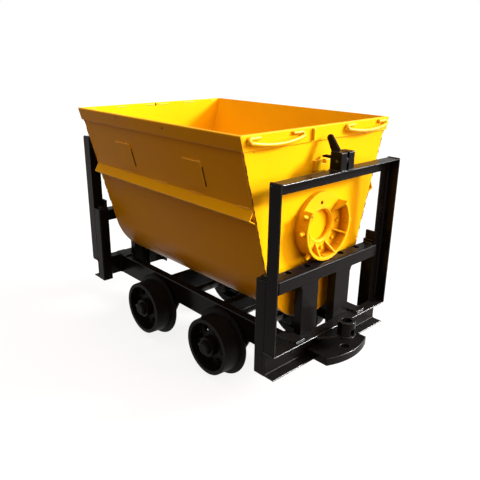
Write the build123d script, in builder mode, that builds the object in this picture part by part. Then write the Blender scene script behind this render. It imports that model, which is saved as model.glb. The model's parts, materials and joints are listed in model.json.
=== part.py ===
"""Side-dump ore cart: a rocker bucket on two toothed roll drums, on a four-wheeled rail frame.

X runs along the track, Z is up, and Z = 0 is the lowest point of the wheel flanges.
Most pieces are made at the +X end or on the -Y side and mirrored to the other.
"""
import math
import os

from build123d import *

os.makedirs("parts", exist_ok=True)

# wheels and axles
wheel_base = 557.0
tread_radius = 148.0
flange_height = 26.0
flange_width = 22.0
flange_inner_face = 262.0     # distance of the flange's back from the middle of the track
wheel_width = 113.0
tread_fall = 4.0              # the tread is smaller by this at its outer edge
tread_root = 5.0
wheel_rim_thickness = 20.0
wheel_web = 14.0
wheel_web_from_back = 52.0
wheel_dish = 10.0
hub_radius = 50.0
hub_set_in = 4.0
hub_cap_radius = 35.0
hub_cap_length = 22.0
hub_cap_chamfer = 7.0
axle_radius = 30.0
axle_end_cover = 8.0
wheel_hole_radius = 19.0
wheel_hole_count = 8
wheel_hole_turn = -56.0
axle_running_gap = 0.4

# rolled sections of the frame
frame_bottom = 231.0
channel_height = 116.0
channel_wall = 7.0
section_root = 8.0            # inner radius of rolled channels and angles
sill_outer_face = 250.0
sill_flange = 48.0
cross_member_x = 200.0
cross_member_flange = 46.0
bumper_back = 697.0           # inner face of the bumper's web
bumper_flange = 59.0
bumper_half_width = 405.0
lap_plate_length = 106.0
lap_plate_width = 57.0
lap_plate = 8.0
lap_plate_set_back = 14.0

# corner posts and roll beams
post_size = 60.0
post_wall = 6.0
post_corner = 6.0
post_rise = 13.0              # the posts stand this far above the roll beams
beam_top = 659.0
beam_height = 62.0
beam_depth = 71.0
beam_wall = 8.0
beam_corner = 7.0
beam_leg_width = 110.0
beam_leg_inner_face = 62.0
beam_leg_wall = 7.0
gusset_size = 30.0
gusset_land = 4.0
gusset = 8.0
stop_height = 48.0
stop_plate = 12.0
stop_foot = 42.0
stop_length = 44.0
stop_set_back = 4.0

# roll drums
drum_radius = 154.0
drum_depth = 73.0
drum_rim = 16.0
drum_rim_chamfer = 3.0
drum_disc = 25.0              # thickness of the full disc behind the rim
drum_bore = 84.0
drum_open_start = 41.0        # between these turns the disc has no rim
drum_open_end = 144.0
drum_rib = 9.0
drum_rib_angles = (-22.5, -67.5, -112.5, -157.5)
drum_rib_root = 4.0           # how far the ribs run into the rim
drum_bolt_circle = 106.0
drum_bolt_angles = (2.5, -42.5, -87.5, -132.5, -177.5)
drum_bolt_radius = 10.0
drum_bolt_height = 9.0
drum_spare_hole_angle = 92.5
drum_spare_hole_radius = 9.0
hub_ring_wall = 13.6
hub_ring_chamfer = 8.0
hub_gap = 0.4
roll_gap = 0.3
stud_pitch_angle = 45.0
stud_angles = (-90.0, -45.0, -135.0, 0.0, 180.0, 154.0)
stud_base_radius = 13.0
stud_tip_radius = 7.0
stud_height = 24.0
stud_root = 4.0
stud_inner_radius = 10.0
stud_inner_height = 3.0
stud_set_back = 21.0          # from the drum's front
stud_hole_radius = 18.0
stud_hole_count = 5
beam_behind_studs = 22.0

# bucket
bucket_top = 1254.0
bucket_bottom = 365.0
trough_radius = 317.0
trough_half_width = 483.0     # outer faces of the side panels at the rim
bucket_wall = 6.0
end_wall = 8.0
end_wall_face = 615.0
rim_band_height = 62.0
rim_band = 8.0
rim_band_round = 5.0
band_rib_y = -78.0
band_rib_width = 7.0
band_rib_reach = 14.0          # passes in front of the stored lever as the bucket rolls
band_rib_drop = 6.0
band_rib_chamfer = 3.0
belt_leg = 50.0
belt_wall = 6.0
belt_drop = 335.0             # below the rim
belt_end_gap = 3.0
doubler_length = 125.0
doubler_width = 128.0
doubler = 6.0
doubler_x = 272.0
doubler_drop = 206.0
handle_rod_radius = 7.0
handle_inner_y = 148.0
handle_length = 304.0
handle_end_length = 47.0      # straight ends welded along the band
handle_turn_radius = 10.0
handle_sag = 16.0             # bow of the rod between its end turns
handle_pitch = -56.0          # the handle hangs outwards at this angle from level
handle_drop = 14.0
handle_seat = 1.0             # flat ground on the rod's ends where they meet the band
lug_half_width = 54.0
lug_thickness = 18.0
lug_height = 45.0
lug_clearance = 11.0          # under the nose of the stored lever
lug_notch_half = 13.0
lug_notch_depth = 16.0

# portal frames, rolled angle
portal_leg_size = 60.0
portal_wall = 7.0
portal_rise = 1.35            # above the middle of the bare end wall between drum and rim band

# bucket latches on the portal's top bars
cheek_width = 38.0
cheek_length = 58.0
cheek_height = 78.0
cheek_chamfer = 4.0
lever_width = 12.0
lever_side_gap = 1.0
pivot_set_back = 38.0         # from the bar's back
pivot_height = 41.0           # above the bar
pivot_pin_radius = 7.5
pivot_pin_end = 4.0
pivot_gap = 0.4
lever_boss_radius = 19.0
lever_arm_reach = 128.0
lever_arm_angle = 133.0
lever_arm_foot = 6.0          # the arm's outer edge passes the pivot by this
lever_tip_radius = 15.0
lever_heel = 56.0             # the arm's inner edge meets the nose this far from the pivot
lever_nose_gap = 9.0          # in front of the end wall
lever_nose_drop = 3.0         # below the pivot
lever_nose_height = 13.0
lever_nose_chamfer = 5.0
lever_nose_taper = 14.0

# couplers
coupler_plate = 38.0
coupler_half_width = 147.0
coupler_side_reach = 79.0     # reaches are from the bumper's front
coupler_front_reach = 112.0
coupler_pin_reach = 64.0
coupler_hole_radius = 20.0
coupler_top_plate = 12.0
coupler_link_gap = 52.0
coupler_top_half_width = 126.0
boss_radius = 40.0
boss_bore_radius = 24.0
boss_height = 69.0
boss_notch = 32.0
boss_notch_height = 36.0
rib_plate = 10.0
rib_y = 74.0
rib_length = 62.0
rib_rake = 34.0

# pedestals and axle boxes
pedestal_plate = 12.0
pedestal_half_top = 170.0
pedestal_half_bottom = 105.0
pedestal_drop = 116.0
pedestal_bore_gap = 4.0
box_half_length = 62.0
box_width = 54.0
box_drop = 112.0
box_corner = 14.0
box_seat = 20.0

# places that follow from the sizes
axle_x = wheel_base / 2
axle_z = tread_radius + flange_height
frame_top = frame_bottom + channel_height
frame_middle = frame_bottom + channel_height / 2
bumper_front = bumper_back + bumper_flange
bumper_web_face = bumper_back + channel_wall
post_top = beam_top + post_rise
post_inner_face = bumper_half_width - post_size
drum_front = end_wall_face + drum_depth
stud_x = drum_front - stud_set_back
beam_back = stud_x - beam_behind_studs
beam_front = beam_back + beam_depth
beam_underside = beam_top - beam_height
roll_axis_z = beam_top + roll_gap + drum_radius
hole_pitch = math.radians(stud_pitch_angle) * drum_radius
belt_z = bucket_top - belt_drop
belt_half_length = end_wall_face - belt_end_gap
doubler_z = bucket_top - doubler_drop
handle_z = bucket_top - handle_drop
drum_top = roll_axis_z + drum_radius
band_bottom = bucket_top - rim_band_height
portal_top = (drum_top + band_bottom) / 2 + portal_rise
portal_bar_bottom = portal_top - portal_leg_size
pivot_x = bumper_back + pivot_set_back
pivot_z = portal_top + pivot_height
lever_nose_x = end_wall_face + lever_nose_gap
lever_nose_bottom = pivot_z - lever_nose_drop
lug_top = lever_nose_bottom - lug_clearance
coupler_side_x = bumper_front + coupler_side_reach
coupler_front_x = bumper_front + coupler_front_reach
coupler_pin_x = bumper_front + coupler_pin_reach
coupler_top = frame_bottom + channel_wall + coupler_plate
coupler_back = bumper_web_face + section_root
upper_plate_z = coupler_top + coupler_link_gap

# the side panel is the tangent from the rim to the round bottom
trough_center_z = bucket_bottom + trough_radius
rim_distance = math.hypot(trough_half_width, bucket_top - trough_center_z)
rim_angle = math.degrees(math.atan2(bucket_top - trough_center_z, trough_half_width))
tangent_angle = rim_angle - math.degrees(math.acos(trough_radius / rim_distance))
side_lean = -tangent_angle
lean = math.radians(side_lean)


def trough_point(angle, radius):
    """Point of the round bottom on the -Y side, as (y, z)."""
    a = math.radians(angle)
    return (-radius * math.cos(a), trough_center_z + radius * math.sin(a))


def side_y(z):
    """Outer face of the -Y side panel at height z."""
    return -(trough_half_width - math.tan(lean) * (bucket_top - z))


def side_plane(x, z):
    """Plane on the -Y panel's outer face: local x up the slope, local y outwards, normal +X."""
    return Plane(
        origin=(x, side_y(z), z),
        x_dir=(0, -math.sin(lean), math.cos(lean)),
        z_dir=(1, 0, 0),
    )


def mirror_xy():
    """Copies what stands at +X, -Y to the other three corners."""
    mirror(about=Plane.YZ)
    mirror(about=Plane.XZ)


def channel_section(flange, height, wall):
    """Rolled channel: back of the web at x = 0, flanges towards +x, centred on y = 0."""
    half = height / 2
    with BuildSketch() as section:
        with BuildLine():
            Polyline(
                (0, -half),
                (flange, -half),
                (flange, -half + wall),
                (wall, -half + wall),
                (wall, half - wall),
                (flange, half - wall),
                (flange, half),
                (0, half),
                close=True,
            )
        make_face()
        roots = section.vertices().filter_by(lambda v: abs(v.X - wall) < 0.01)
        fillet(roots, section_root)
    return section.sketch


def angle_section(leg, wall):
    """Rolled angle: heel at the origin, legs along +x and +y."""
    with BuildSketch() as section:
        with BuildLine():
            Polyline((0, 0), (leg, 0), (leg, wall), (wall, wall), (wall, leg), (0, leg), close=True)
        make_face()
        root = section.vertices().filter_by(lambda v: abs(v.X - wall) + abs(v.Y - wall) < 0.01)
        fillet(root, section_root)
    return section.sketch


# Wheelsets: a straight axle with a flanged, dished wheel pressed on each end.
def wheel_section(x):
    return Plane(origin=(x, 0, axle_z), x_dir=(0, 1, 0), z_dir=(1, 0, 0))


def build_wheel_flanges(x, label):
    """The back of each wheel's rim, with the flange that guides it along the rail."""
    back = flange_inner_face
    rim_inner = tread_radius - tread_fall - wheel_rim_thickness
    flange_radius = tread_radius + flange_height
    tip = flange_width / 2
    with BuildPart() as flanges:
        with BuildSketch(wheel_section(x)):
            with BuildLine():
                Polyline(
                    (back + flange_width + tread_root, tread_radius),
                    (back + flange_width + tread_root, rim_inner),
                    (back, rim_inner),
                    (back, flange_radius - tip),
                )
                ThreePointArc(
                    (back, flange_radius - tip),
                    (back + tip, flange_radius),
                    (back + 2 * tip, flange_radius - tip),
                )
                Line(
                    (back + 2 * tip, flange_radius - tip),
                    (back + flange_width + tread_root, tread_radius),
                )
            make_face()
        revolve(axis=Axis((x, 0, axle_z), (0, 1, 0)))
        mirror(about=Plane.XZ)
    flanges.part.label = label
    export_step(flanges.part, f"parts/{label}.step")


def build_wheels(x, label):
    """Tread, dished web with its holes, hub and the cap over the axle's end."""
    back = flange_inner_face
    face = back + wheel_width
    tread_start = back + flange_width + tread_root
    tread_outer = tread_radius - tread_fall
    rim_inner = tread_outer - wheel_rim_thickness
    web_inner = back + wheel_web_from_back
    hole_circle = (hub_radius + rim_inner) / 2
    with BuildPart() as wheels:
        with BuildSketch(wheel_section(x)):
            with BuildLine():
                Polyline(
                    (back + hub_set_in, axle_radius),
                    (back + hub_set_in, hub_radius),
                    (web_inner + wheel_dish, hub_radius),
                    (web_inner, rim_inner),
                    (tread_start, rim_inner),
                    (tread_start, tread_radius),
                    (face, tread_outer),
                    (face, rim_inner),
                    (web_inner + wheel_web, rim_inner),
                    (web_inner + wheel_dish + wheel_web, hub_radius),
                    (face, hub_radius),
                    (face, hub_cap_radius),
                    (face + hub_cap_length - hub_cap_chamfer, hub_cap_radius),
                    (face + hub_cap_length, hub_cap_radius - hub_cap_chamfer),
                    (face + hub_cap_length, 0),
                    (face - axle_end_cover, 0),
                    (face - axle_end_cover, axle_radius),
                    close=True,
                )
            make_face()
        revolve(axis=Axis((x, 0, axle_z), (0, 1, 0)))
        with BuildSketch(Plane(origin=(x, face, axle_z), x_dir=(1, 0, 0), z_dir=(0, -1, 0))):
            with PolarLocations(hole_circle, wheel_hole_count, start_angle=wheel_hole_turn):
                Circle(wheel_hole_radius)
        extrude(amount=wheel_width, mode=Mode.SUBTRACT)
        mirror(about=Plane.XZ)
    wheels.part.label = label
    export_step(wheels.part, f"parts/{label}.step")


def build_axle(x, label):
    reach = flange_inner_face + wheel_width - axle_end_cover
    with BuildPart() as axle:
        with BuildSketch(Plane.XZ.offset(-reach)):
            with Locations((x, axle_z)):
                Circle(axle_radius)
        extrude(amount=2 * reach)
    axle.part.label = label
    export_step(axle.part, f"parts/{label}.step")


for end, x in (("front", axle_x), ("rear", -axle_x)):
    build_wheel_flanges(x, f"wheel_flanges_{end}")
    build_wheels(x, f"wheels_{end}")
    build_axle(x, f"axle_{end}")


# Sills: channels with the web outside, cut to length between the bumpers.
with BuildPart() as sills:
    with BuildSketch(Plane.YZ.offset(-bumper_back)):
        with Locations((-sill_outer_face, frame_middle)):
            add(channel_section(sill_flange, channel_height, channel_wall))
    extrude(amount=2 * bumper_back)
    mirror(about=Plane.XZ)
sills.part.label = "sills"
export_step(sills.part, "parts/sills.step")

# Cross members: channels inside the sills' flanges, cut back from the rolled roots.
with BuildPart() as cross_members:
    inner_height = channel_height - 2 * channel_wall
    span = sill_outer_face - channel_wall - section_root
    with BuildSketch(Plane.XZ.offset(-span)):
        with Locations((cross_member_x, frame_middle)):
            add(channel_section(cross_member_flange, inner_height, channel_wall))
    extrude(amount=2 * span)
    mirror(about=Plane.YZ)
cross_members.part.label = "cross_members"
export_step(cross_members.part, "parts/cross_members.step")


# Bumpers: channels across the ends, web inside and both flanges outwards.
def build_bumper(turn, label):
    with BuildPart() as bumper:
        with BuildSketch(Plane.XZ.offset(-bumper_half_width)):
            with Locations((math.cos(math.radians(turn)) * bumper_back, frame_middle)):
                add(channel_section(bumper_flange, channel_height, channel_wall), rotation=turn)
        extrude(amount=2 * bumper_half_width)
    bumper.part.label = label
    export_step(bumper.part, f"parts/{label}.step")


build_bumper(0, "bumper_front")
build_bumper(180, "bumper_rear")

# Lap plates: join each sill's top flange to the bumper's.
with BuildPart() as lap_plates:
    lap_x = bumper_front - lap_plate_set_back - lap_plate_length / 2
    with BuildSketch(Plane.XY.offset(frame_top)):
        with Locations((lap_x, -sill_outer_face + lap_plate_width / 2)):
            Rectangle(lap_plate_length, lap_plate_width)
    extrude(amount=lap_plate)
    mirror_xy()
lap_plates.part.label = "lap_plates"
export_step(lap_plates.part, "parts/lap_plates.step")

# Corner posts: square tubes with a closed top, against the inside of the bumpers.
with BuildPart() as corner_posts:
    post_place = (bumper_back - post_size / 2, -bumper_half_width + post_size / 2)
    with BuildSketch(Plane.XY.offset(frame_bottom)):
        with Locations(post_place):
            RectangleRounded(post_size, post_size, post_corner)
    extrude(amount=post_top - frame_bottom)
    with BuildSketch(Plane.XY.offset(frame_bottom)):
        with Locations(post_place):
            Rectangle(post_size - 2 * post_wall, post_size - 2 * post_wall)
    extrude(amount=post_top - frame_bottom - post_wall, mode=Mode.SUBTRACT)
    mirror_xy()
corner_posts.part.label = "corner_posts"
export_step(corner_posts.part, "parts/corner_posts.step")


# Roll beams: box sections between the posts, drilled on top for the drum studs.
def build_roll_beam(side, label):
    middle = side * (beam_back + beam_front) / 2
    with BuildPart() as beam:
        with BuildSketch(Plane.XZ.offset(-post_inner_face)):
            with Locations((middle, beam_top - beam_height / 2)):
                RectangleRounded(beam_depth, beam_height, beam_corner)
                Rectangle(beam_depth - 2 * beam_wall, beam_height - 2 * beam_wall, mode=Mode.SUBTRACT)
        extrude(amount=2 * post_inner_face)
        with BuildSketch(Plane.XY.offset(beam_top)):
            with Locations((side * stud_x, 0)):
                with GridLocations(hole_pitch, hole_pitch, 1, stud_hole_count):
                    Circle(stud_hole_radius)
        extrude(amount=-beam_wall, mode=Mode.SUBTRACT)
    beam.part.label = label
    export_step(beam.part, f"parts/{label}.step")


build_roll_beam(1, "roll_beam_front")
build_roll_beam(-1, "roll_beam_rear")

# Beam legs: channels that carry each roll beam, with a coved gusset on the outer side.
leg_depth = bumper_back - (beam_back + beam_wall)
leg_middle_y = beam_leg_inner_face + beam_leg_width / 2
with BuildPart() as beam_legs:
    with BuildSketch(Plane.XY.offset(frame_bottom)):
        with Locations((bumper_back, -leg_middle_y)):
            add(channel_section(leg_depth, beam_leg_width, beam_leg_wall), rotation=180)
    extrude(amount=beam_underside - frame_bottom)
    with BuildSketch(Plane.YZ.offset(bumper_back - gusset)):
        corner_y = -(beam_leg_inner_face + beam_leg_width)
        with Locations((corner_y - gusset_size / 2, beam_underside - gusset_size / 2)):
            Rectangle(gusset_size, gusset_size)
        with Locations((corner_y - gusset_size, beam_underside - gusset_size)):
            Circle(gusset_size - gusset_land, mode=Mode.SUBTRACT)
    extrude(amount=gusset)
    mirror_xy()
beam_legs.part.label = "beam_legs"
export_step(beam_legs.part, "parts/beam_legs.step")

# Roll stops: cleats on the post tops that end the drums' travel.
with BuildPart() as roll_stops:
    with BuildSketch(Plane.YZ.offset(bumper_back - stop_length - stop_set_back)):
        with BuildLine():
            Polyline(
                (-post_inner_face, post_top),
                (-post_inner_face, post_top + stop_height),
                (-post_inner_face - stop_plate, post_top + stop_height),
                (-post_inner_face - stop_plate, post_top + stop_plate),
                (-post_inner_face - stop_foot, post_top + stop_plate),
                (-post_inner_face - stop_foot, post_top),
                close=True,
            )
        make_face()
    extrude(amount=stop_length)
    mirror_xy()
roll_stops.part.label = "roll_stops"
export_step(roll_stops.part, "parts/roll_stops.step")

# Portal legs: angle iron standing on the bumper's top flange, web outside.
with BuildPart() as portal_legs:
    with BuildSketch(Plane.XY.offset(frame_top)):
        with Locations((bumper_back, -bumper_half_width)):
            add(angle_section(portal_leg_size, portal_wall))
    extrude(amount=portal_bar_bottom - frame_top)
    with BuildSketch(Plane.XY.offset(portal_bar_bottom)):
        with Locations((bumper_back + portal_leg_size / 2, -bumper_half_width + portal_wall / 2)):
            Rectangle(portal_leg_size, portal_wall)
    extrude(amount=portal_leg_size)
    mirror_xy()
portal_legs.part.label = "portal_legs"
export_step(portal_legs.part, "parts/portal_legs.step")

# Portal bars: angle iron between the legs, one flange flat on top and one at the back.
with BuildPart() as portal_bars:
    bar_half = bumper_half_width - portal_wall
    with BuildSketch(Plane.XZ.offset(-bar_half)):
        with Locations((bumper_back, portal_top)):
            add(angle_section(portal_leg_size, portal_wall), rotation=-90)
    extrude(amount=2 * bar_half)
    mirror(about=Plane.YZ)
portal_bars.part.label = "portal_bars"
export_step(portal_bars.part, "parts/portal_bars.step")

# Couplers: a thick lower plate with a bowed front, a thinner tapered upper plate, and a pin tube.
with BuildPart() as coupler_plates:
    with BuildSketch(Plane.XY.offset(frame_bottom + channel_wall)):
        with BuildLine():
            Polyline(
                (coupler_side_x, -coupler_half_width),
                (coupler_back, -coupler_half_width),
                (coupler_back, coupler_half_width),
                (coupler_side_x, coupler_half_width),
            )
            ThreePointArc(
                (coupler_side_x, coupler_half_width),
                (coupler_front_x, 0),
                (coupler_side_x, -coupler_half_width),
            )
        make_face()
        with Locations((coupler_pin_x, 0)):
            Circle(coupler_hole_radius, mode=Mode.SUBTRACT)
    extrude(amount=coupler_plate)
    mirror(about=Plane.YZ)
coupler_plates.part.label = "coupler_plates"
export_step(coupler_plates.part, "parts/coupler_plates.step")

with BuildPart() as coupler_top_plates:
    with BuildSketch(Plane.XY.offset(upper_plate_z)):
        with BuildLine():
            Polyline(
                (coupler_pin_x, -boss_radius),
                (bumper_front, -coupler_top_half_width),
                (coupler_back, -coupler_top_half_width),
                (coupler_back, coupler_top_half_width),
                (bumper_front, coupler_top_half_width),
                (coupler_pin_x, boss_radius),
            )
            ThreePointArc(
                (coupler_pin_x, boss_radius),
                (coupler_pin_x + boss_radius, 0),
                (coupler_pin_x, -boss_radius),
            )
        make_face()
        with Locations((coupler_pin_x, 0)):
            Circle(boss_bore_radius, mode=Mode.SUBTRACT)
    extrude(amount=coupler_top_plate)
    mirror(about=Plane.YZ)
coupler_top_plates.part.label = "coupler_top_plates"
export_step(coupler_top_plates.part, "parts/coupler_top_plates.step")

with BuildPart() as coupler_bosses:
    boss_bottom = upper_plate_z + coupler_top_plate
    with BuildSketch(Plane.XY.offset(boss_bottom)):
        with Locations((coupler_pin_x, 0)):
            Circle(boss_radius)
            Circle(boss_bore_radius, mode=Mode.SUBTRACT)
    extrude(amount=boss_height)
    with BuildSketch(Plane.YZ.offset(coupler_pin_x)):
        with Locations((0, boss_bottom + boss_notch_height / 2)):
            Rectangle(boss_notch, boss_notch_height)
    extrude(amount=2 * boss_radius, mode=Mode.SUBTRACT)
    mirror(about=Plane.YZ)
coupler_bosses.part.label = "coupler_bosses"
export_step(coupler_bosses.part, "parts/coupler_bosses.step")

# Coupler ribs: two raked plates between the coupler's lower and upper plates.
with BuildPart() as coupler_ribs:
    with BuildSketch(Plane.XZ.offset(rib_y - rib_plate / 2)):
        with BuildLine():
            Polyline(
                (bumper_web_face, coupler_top),
                (bumper_web_face + rib_length - rib_rake, coupler_top),
                (bumper_web_face + rib_length, upper_plate_z),
                (bumper_web_face, upper_plate_z),
                close=True,
            )
        make_face()
    extrude(amount=rib_plate)
    mirror_xy()
coupler_ribs.part.label = "coupler_ribs"
export_step(coupler_ribs.part, "parts/coupler_ribs.step")

# Pedestals: tapered plates hanging under the sill webs round each axle.
with BuildPart() as pedestals:
    with BuildSketch(Plane.XZ.offset(sill_outer_face - pedestal_plate)):
        with BuildLine():
            Polyline(
                (axle_x - pedestal_half_top, frame_bottom),
                (axle_x + pedestal_half_top, frame_bottom),
                (axle_x + pedestal_half_bottom, frame_bottom - pedestal_drop),
                (axle_x - pedestal_half_bottom, frame_bottom - pedestal_drop),
                close=True,
            )
        make_face()
        with Locations((axle_x, axle_z)):
            Circle(axle_radius + pedestal_bore_gap, mode=Mode.SUBTRACT)
    extrude(amount=pedestal_plate)
    mirror_xy()
pedestals.part.label = "pedestals"
export_step(pedestals.part, "parts/pedestals.step")

# Axle boxes: bearing blocks behind the pedestals, bored for the axle.
with BuildPart() as axle_boxes:
    box_face = sill_outer_face - pedestal_plate
    with BuildSketch(Plane.XZ.offset(box_face - box_width)):
        with Locations((axle_x, frame_bottom - box_drop / 2)):
            RectangleRounded(2 * box_half_length, box_drop, box_corner)
        with Locations((axle_x, frame_bottom - box_seat / 2)):
            Rectangle(2 * box_half_length, box_seat)
        with Locations((axle_x, axle_z)):
            Circle(axle_radius + axle_running_gap, mode=Mode.SUBTRACT)
    extrude(amount=box_width)
    mirror_xy()
axle_boxes.part.label = "axle_boxes"
export_step(axle_boxes.part, "parts/axle_boxes.step")

# Latch housings: two cheeks on each portal bar with a slot between them for the lever.
slot_half = lever_width / 2 + lever_side_gap
with BuildPart() as latch_cheeks:
    with BuildSketch(Plane.XZ.offset(slot_half)):
        with BuildLine():
            Polyline(
                (bumper_back, portal_top),
                (bumper_back + cheek_length, portal_top),
                (bumper_back + cheek_length, portal_top + cheek_height - cheek_chamfer),
                (bumper_back + cheek_length - cheek_chamfer, portal_top + cheek_height),
                (bumper_back + cheek_chamfer, portal_top + cheek_height),
                (bumper_back, portal_top + cheek_height - cheek_chamfer),
                close=True,
            )
        make_face()
        with Locations((pivot_x, pivot_z)):
            Circle(pivot_pin_radius, mode=Mode.SUBTRACT)
    extrude(amount=cheek_width)
    mirror_xy()
latch_cheeks.part.label = "latch_cheeks"
export_step(latch_cheeks.part, "parts/latch_cheeks.step")

with BuildPart() as latch_pins:
    pin_half = slot_half + cheek_width + pivot_pin_end
    with BuildSketch(Plane.XZ.offset(-pin_half)):
        with Locations((pivot_x, pivot_z)):
            Circle(pivot_pin_radius)
    extrude(amount=2 * pin_half)
    mirror(about=Plane.YZ)
latch_pins.part.label = "latch_pins"
export_step(latch_pins.part, "parts/latch_pins.step")


# Latch levers: a flat bar with a raised arm and a nose that drops over the bucket's lug.
def build_lever(side, label):
    a = math.radians(lever_arm_angle)
    arm = (math.cos(a), math.sin(a))
    outward = (math.sin(a), -math.cos(a))
    nose_top = lever_nose_bottom + lever_nose_height
    end = lever_arm_reach - lever_tip_radius

    def place(along, across):
        """Point at a distance along the arm and across it, outwards from the bucket."""
        return (
            side * (pivot_x + along * arm[0] + across * outward[0]),
            pivot_z + along * arm[1] + across * outward[1],
        )

    with BuildPart() as lever:
        with BuildSketch(Plane.XZ.offset(-lever_width / 2)):
            with Locations((side * pivot_x, pivot_z)):
                Circle(lever_boss_radius)
            with Locations(place(end, 0)):
                Circle(lever_tip_radius)
            with BuildLine():
                Polyline(
                    place(0, lever_arm_foot),
                    place(end, lever_tip_radius),
                    place(end, -lever_tip_radius),
                    (side * (pivot_x - lever_heel), nose_top),
                    (side * pivot_x, lever_nose_bottom),
                    close=True,
                )
            make_face()
            with BuildLine():
                Polyline(
                    (side * pivot_x, lever_nose_bottom),
                    (side * lever_nose_x, lever_nose_bottom),
                    (side * lever_nose_x, nose_top - lever_nose_chamfer),
                    (side * (lever_nose_x + lever_nose_taper), nose_top),
                    (side * pivot_x, nose_top),
                    close=True,
                )
            make_face()
            with Locations((side * pivot_x, pivot_z)):
                Circle(pivot_pin_radius + pivot_gap, mode=Mode.SUBTRACT)
        extrude(amount=lever_width)
    lever.part.label = label
    export_step(lever.part, f"parts/{label}.step")


build_lever(1, "latch_lever_front")
build_lever(-1, "latch_lever_rear")


def polar(radius, angle):
    a = math.radians(angle)
    return (radius * math.cos(a), radius * math.sin(a))


def rib_plane(angle):
    """Plane through the roll axis: x runs outwards along the angle, y along the axle line."""
    direction = polar(1, angle)
    return Plane(
        origin=(end_wall_face, 0, roll_axis_z),
        x_dir=(0, direction[0], direction[1]),
        z_dir=(0, direction[1], -direction[0]),
    )


# Roll drums: a bored disc, a deep rim open at the top, raked ribs, bolt heads and studs.
def build_drum(label, side):
    rim_inner = drum_radius - drum_rim
    base = Plane(origin=(end_wall_face, 0, roll_axis_z), x_dir=(0, 1, 0), z_dir=(1, 0, 0))
    rib_profile = (
        (drum_bore, drum_disc),
        (rim_inner, drum_depth),
        (rim_inner + drum_rib_root, drum_depth),
        (rim_inner + drum_rib_root, 0),
        (drum_bore, 0),
    )
    with BuildPart() as drum:
        with BuildSketch(base):
            Circle(drum_radius)
            Circle(rim_inner, mode=Mode.SUBTRACT)
        extrude(amount=drum_depth)
        chamfer(drum.edges().group_by(Axis.X)[-1], drum_rim_chamfer)
        # the rim is left out over the open sector
        with BuildSketch(base.offset(drum_disc)):
            with BuildLine():
                Polyline(
                    (0, 0),
                    polar(2 * drum_radius, drum_open_start),
                    polar(2 * drum_radius, (drum_open_start + drum_open_end) / 2),
                    polar(2 * drum_radius, drum_open_end),
                    close=True,
                )
            make_face()
        extrude(amount=drum_depth, mode=Mode.SUBTRACT)
        # ribs rake from the rim's front down to the edge of the bore
        for angle in drum_rib_angles:
            with BuildSketch(rib_plane(angle)):
                with BuildLine():
                    Polyline(*rib_profile, close=True)
                make_face()
            extrude(amount=drum_rib / 2, both=True)
        for angle, turn in ((drum_open_start, 1), (drum_open_end, -1)):
            with BuildSketch(rib_plane(angle)):
                with BuildLine():
                    Polyline(*rib_profile, close=True)
                make_face()
            extrude(amount=turn * drum_rib)
        with BuildSketch(base):
            Circle(drum_radius)
        extrude(amount=drum_disc)
        with BuildSketch(base):
            Circle(drum_bore)
            with Locations(polar(drum_bolt_circle, drum_spare_hole_angle)):
                Circle(drum_spare_hole_radius)
        extrude(amount=drum_depth, mode=Mode.SUBTRACT)
        # bolt heads that hold the casting to the end wall
        with BuildSketch(base.offset(drum_disc)):
            for angle in drum_bolt_angles:
                with Locations(polar(drum_bolt_circle, angle)):
                    Circle(drum_bolt_radius)
        extrude(amount=drum_bolt_height, taper=15)
        # studs that mesh with the roll beam's holes, with their roots inside the rim
        for angle in stud_angles:
            direction = polar(1, angle)
            root = drum_radius - stud_root
            inner = rim_inner - stud_inner_height
            stud_plane = Plane(
                origin=(stud_x, inner * direction[0], roll_axis_z + inner * direction[1]),
                x_dir=(1, 0, 0),
                z_dir=(0, direction[0], direction[1]),
            )
            with BuildSketch(stud_plane):
                Circle(stud_inner_radius)
            extrude(amount=root - inner)
            with BuildSketch(stud_plane.offset(root - inner)):
                Circle(stud_base_radius)
            with BuildSketch(stud_plane.offset(drum_radius + stud_height - inner)):
                Circle(stud_tip_radius)
            loft()
        if side < 0:
            add(drum.part.rotate(Axis.Z, 180), mode=Mode.REPLACE)
    drum.part.label = label
    export_step(drum.part, f"parts/{label}.step")


build_drum("drum_front", 1)
build_drum("drum_rear", -1)

# Hub rings: bushes inside the drums' bores, concentric with the roll axis.
with BuildPart() as hub_rings:
    ring_radius = drum_bore - hub_gap
    with BuildSketch(Plane.YZ.offset(end_wall_face + hub_gap)):
        with Locations((0, roll_axis_z)):
            Circle(ring_radius)
            Circle(ring_radius - hub_ring_wall, mode=Mode.SUBTRACT)
    extrude(amount=drum_disc - hub_gap)
    mouth = hub_rings.edges().group_by(Axis.X)[-1].sort_by(SortBy.LENGTH)[0]
    chamfer(mouth, hub_ring_chamfer)
    mirror(about=Plane.YZ)
hub_rings.part.label = "hub_rings"
export_step(hub_rings.part, "parts/hub_rings.step")

# Trough bottom: sheet rolled to the round bottom, as far as the side panels' tangents.
panel_length = 2 * (end_wall_face - end_wall)
with BuildPart() as trough_bottom:
    with BuildSketch(Plane.YZ.offset(-panel_length / 2)):
        with BuildLine():
            outer_start = trough_point(-side_lean, trough_radius)
            inner_start = trough_point(-side_lean, trough_radius - bucket_wall)
            ThreePointArc(
                outer_start,
                (0, trough_center_z - trough_radius),
                (-outer_start[0], outer_start[1]),
            )
            Line((-outer_start[0], outer_start[1]), (-inner_start[0], inner_start[1]))
            ThreePointArc(
                (-inner_start[0], inner_start[1]),
                (0, trough_center_z - trough_radius + bucket_wall),
                inner_start,
            )
            Line(inner_start, outer_start)
        make_face()
    extrude(amount=panel_length)
trough_bottom.part.label = "trough_bottom"
export_step(trough_bottom.part, "parts/trough_bottom.step")

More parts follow.
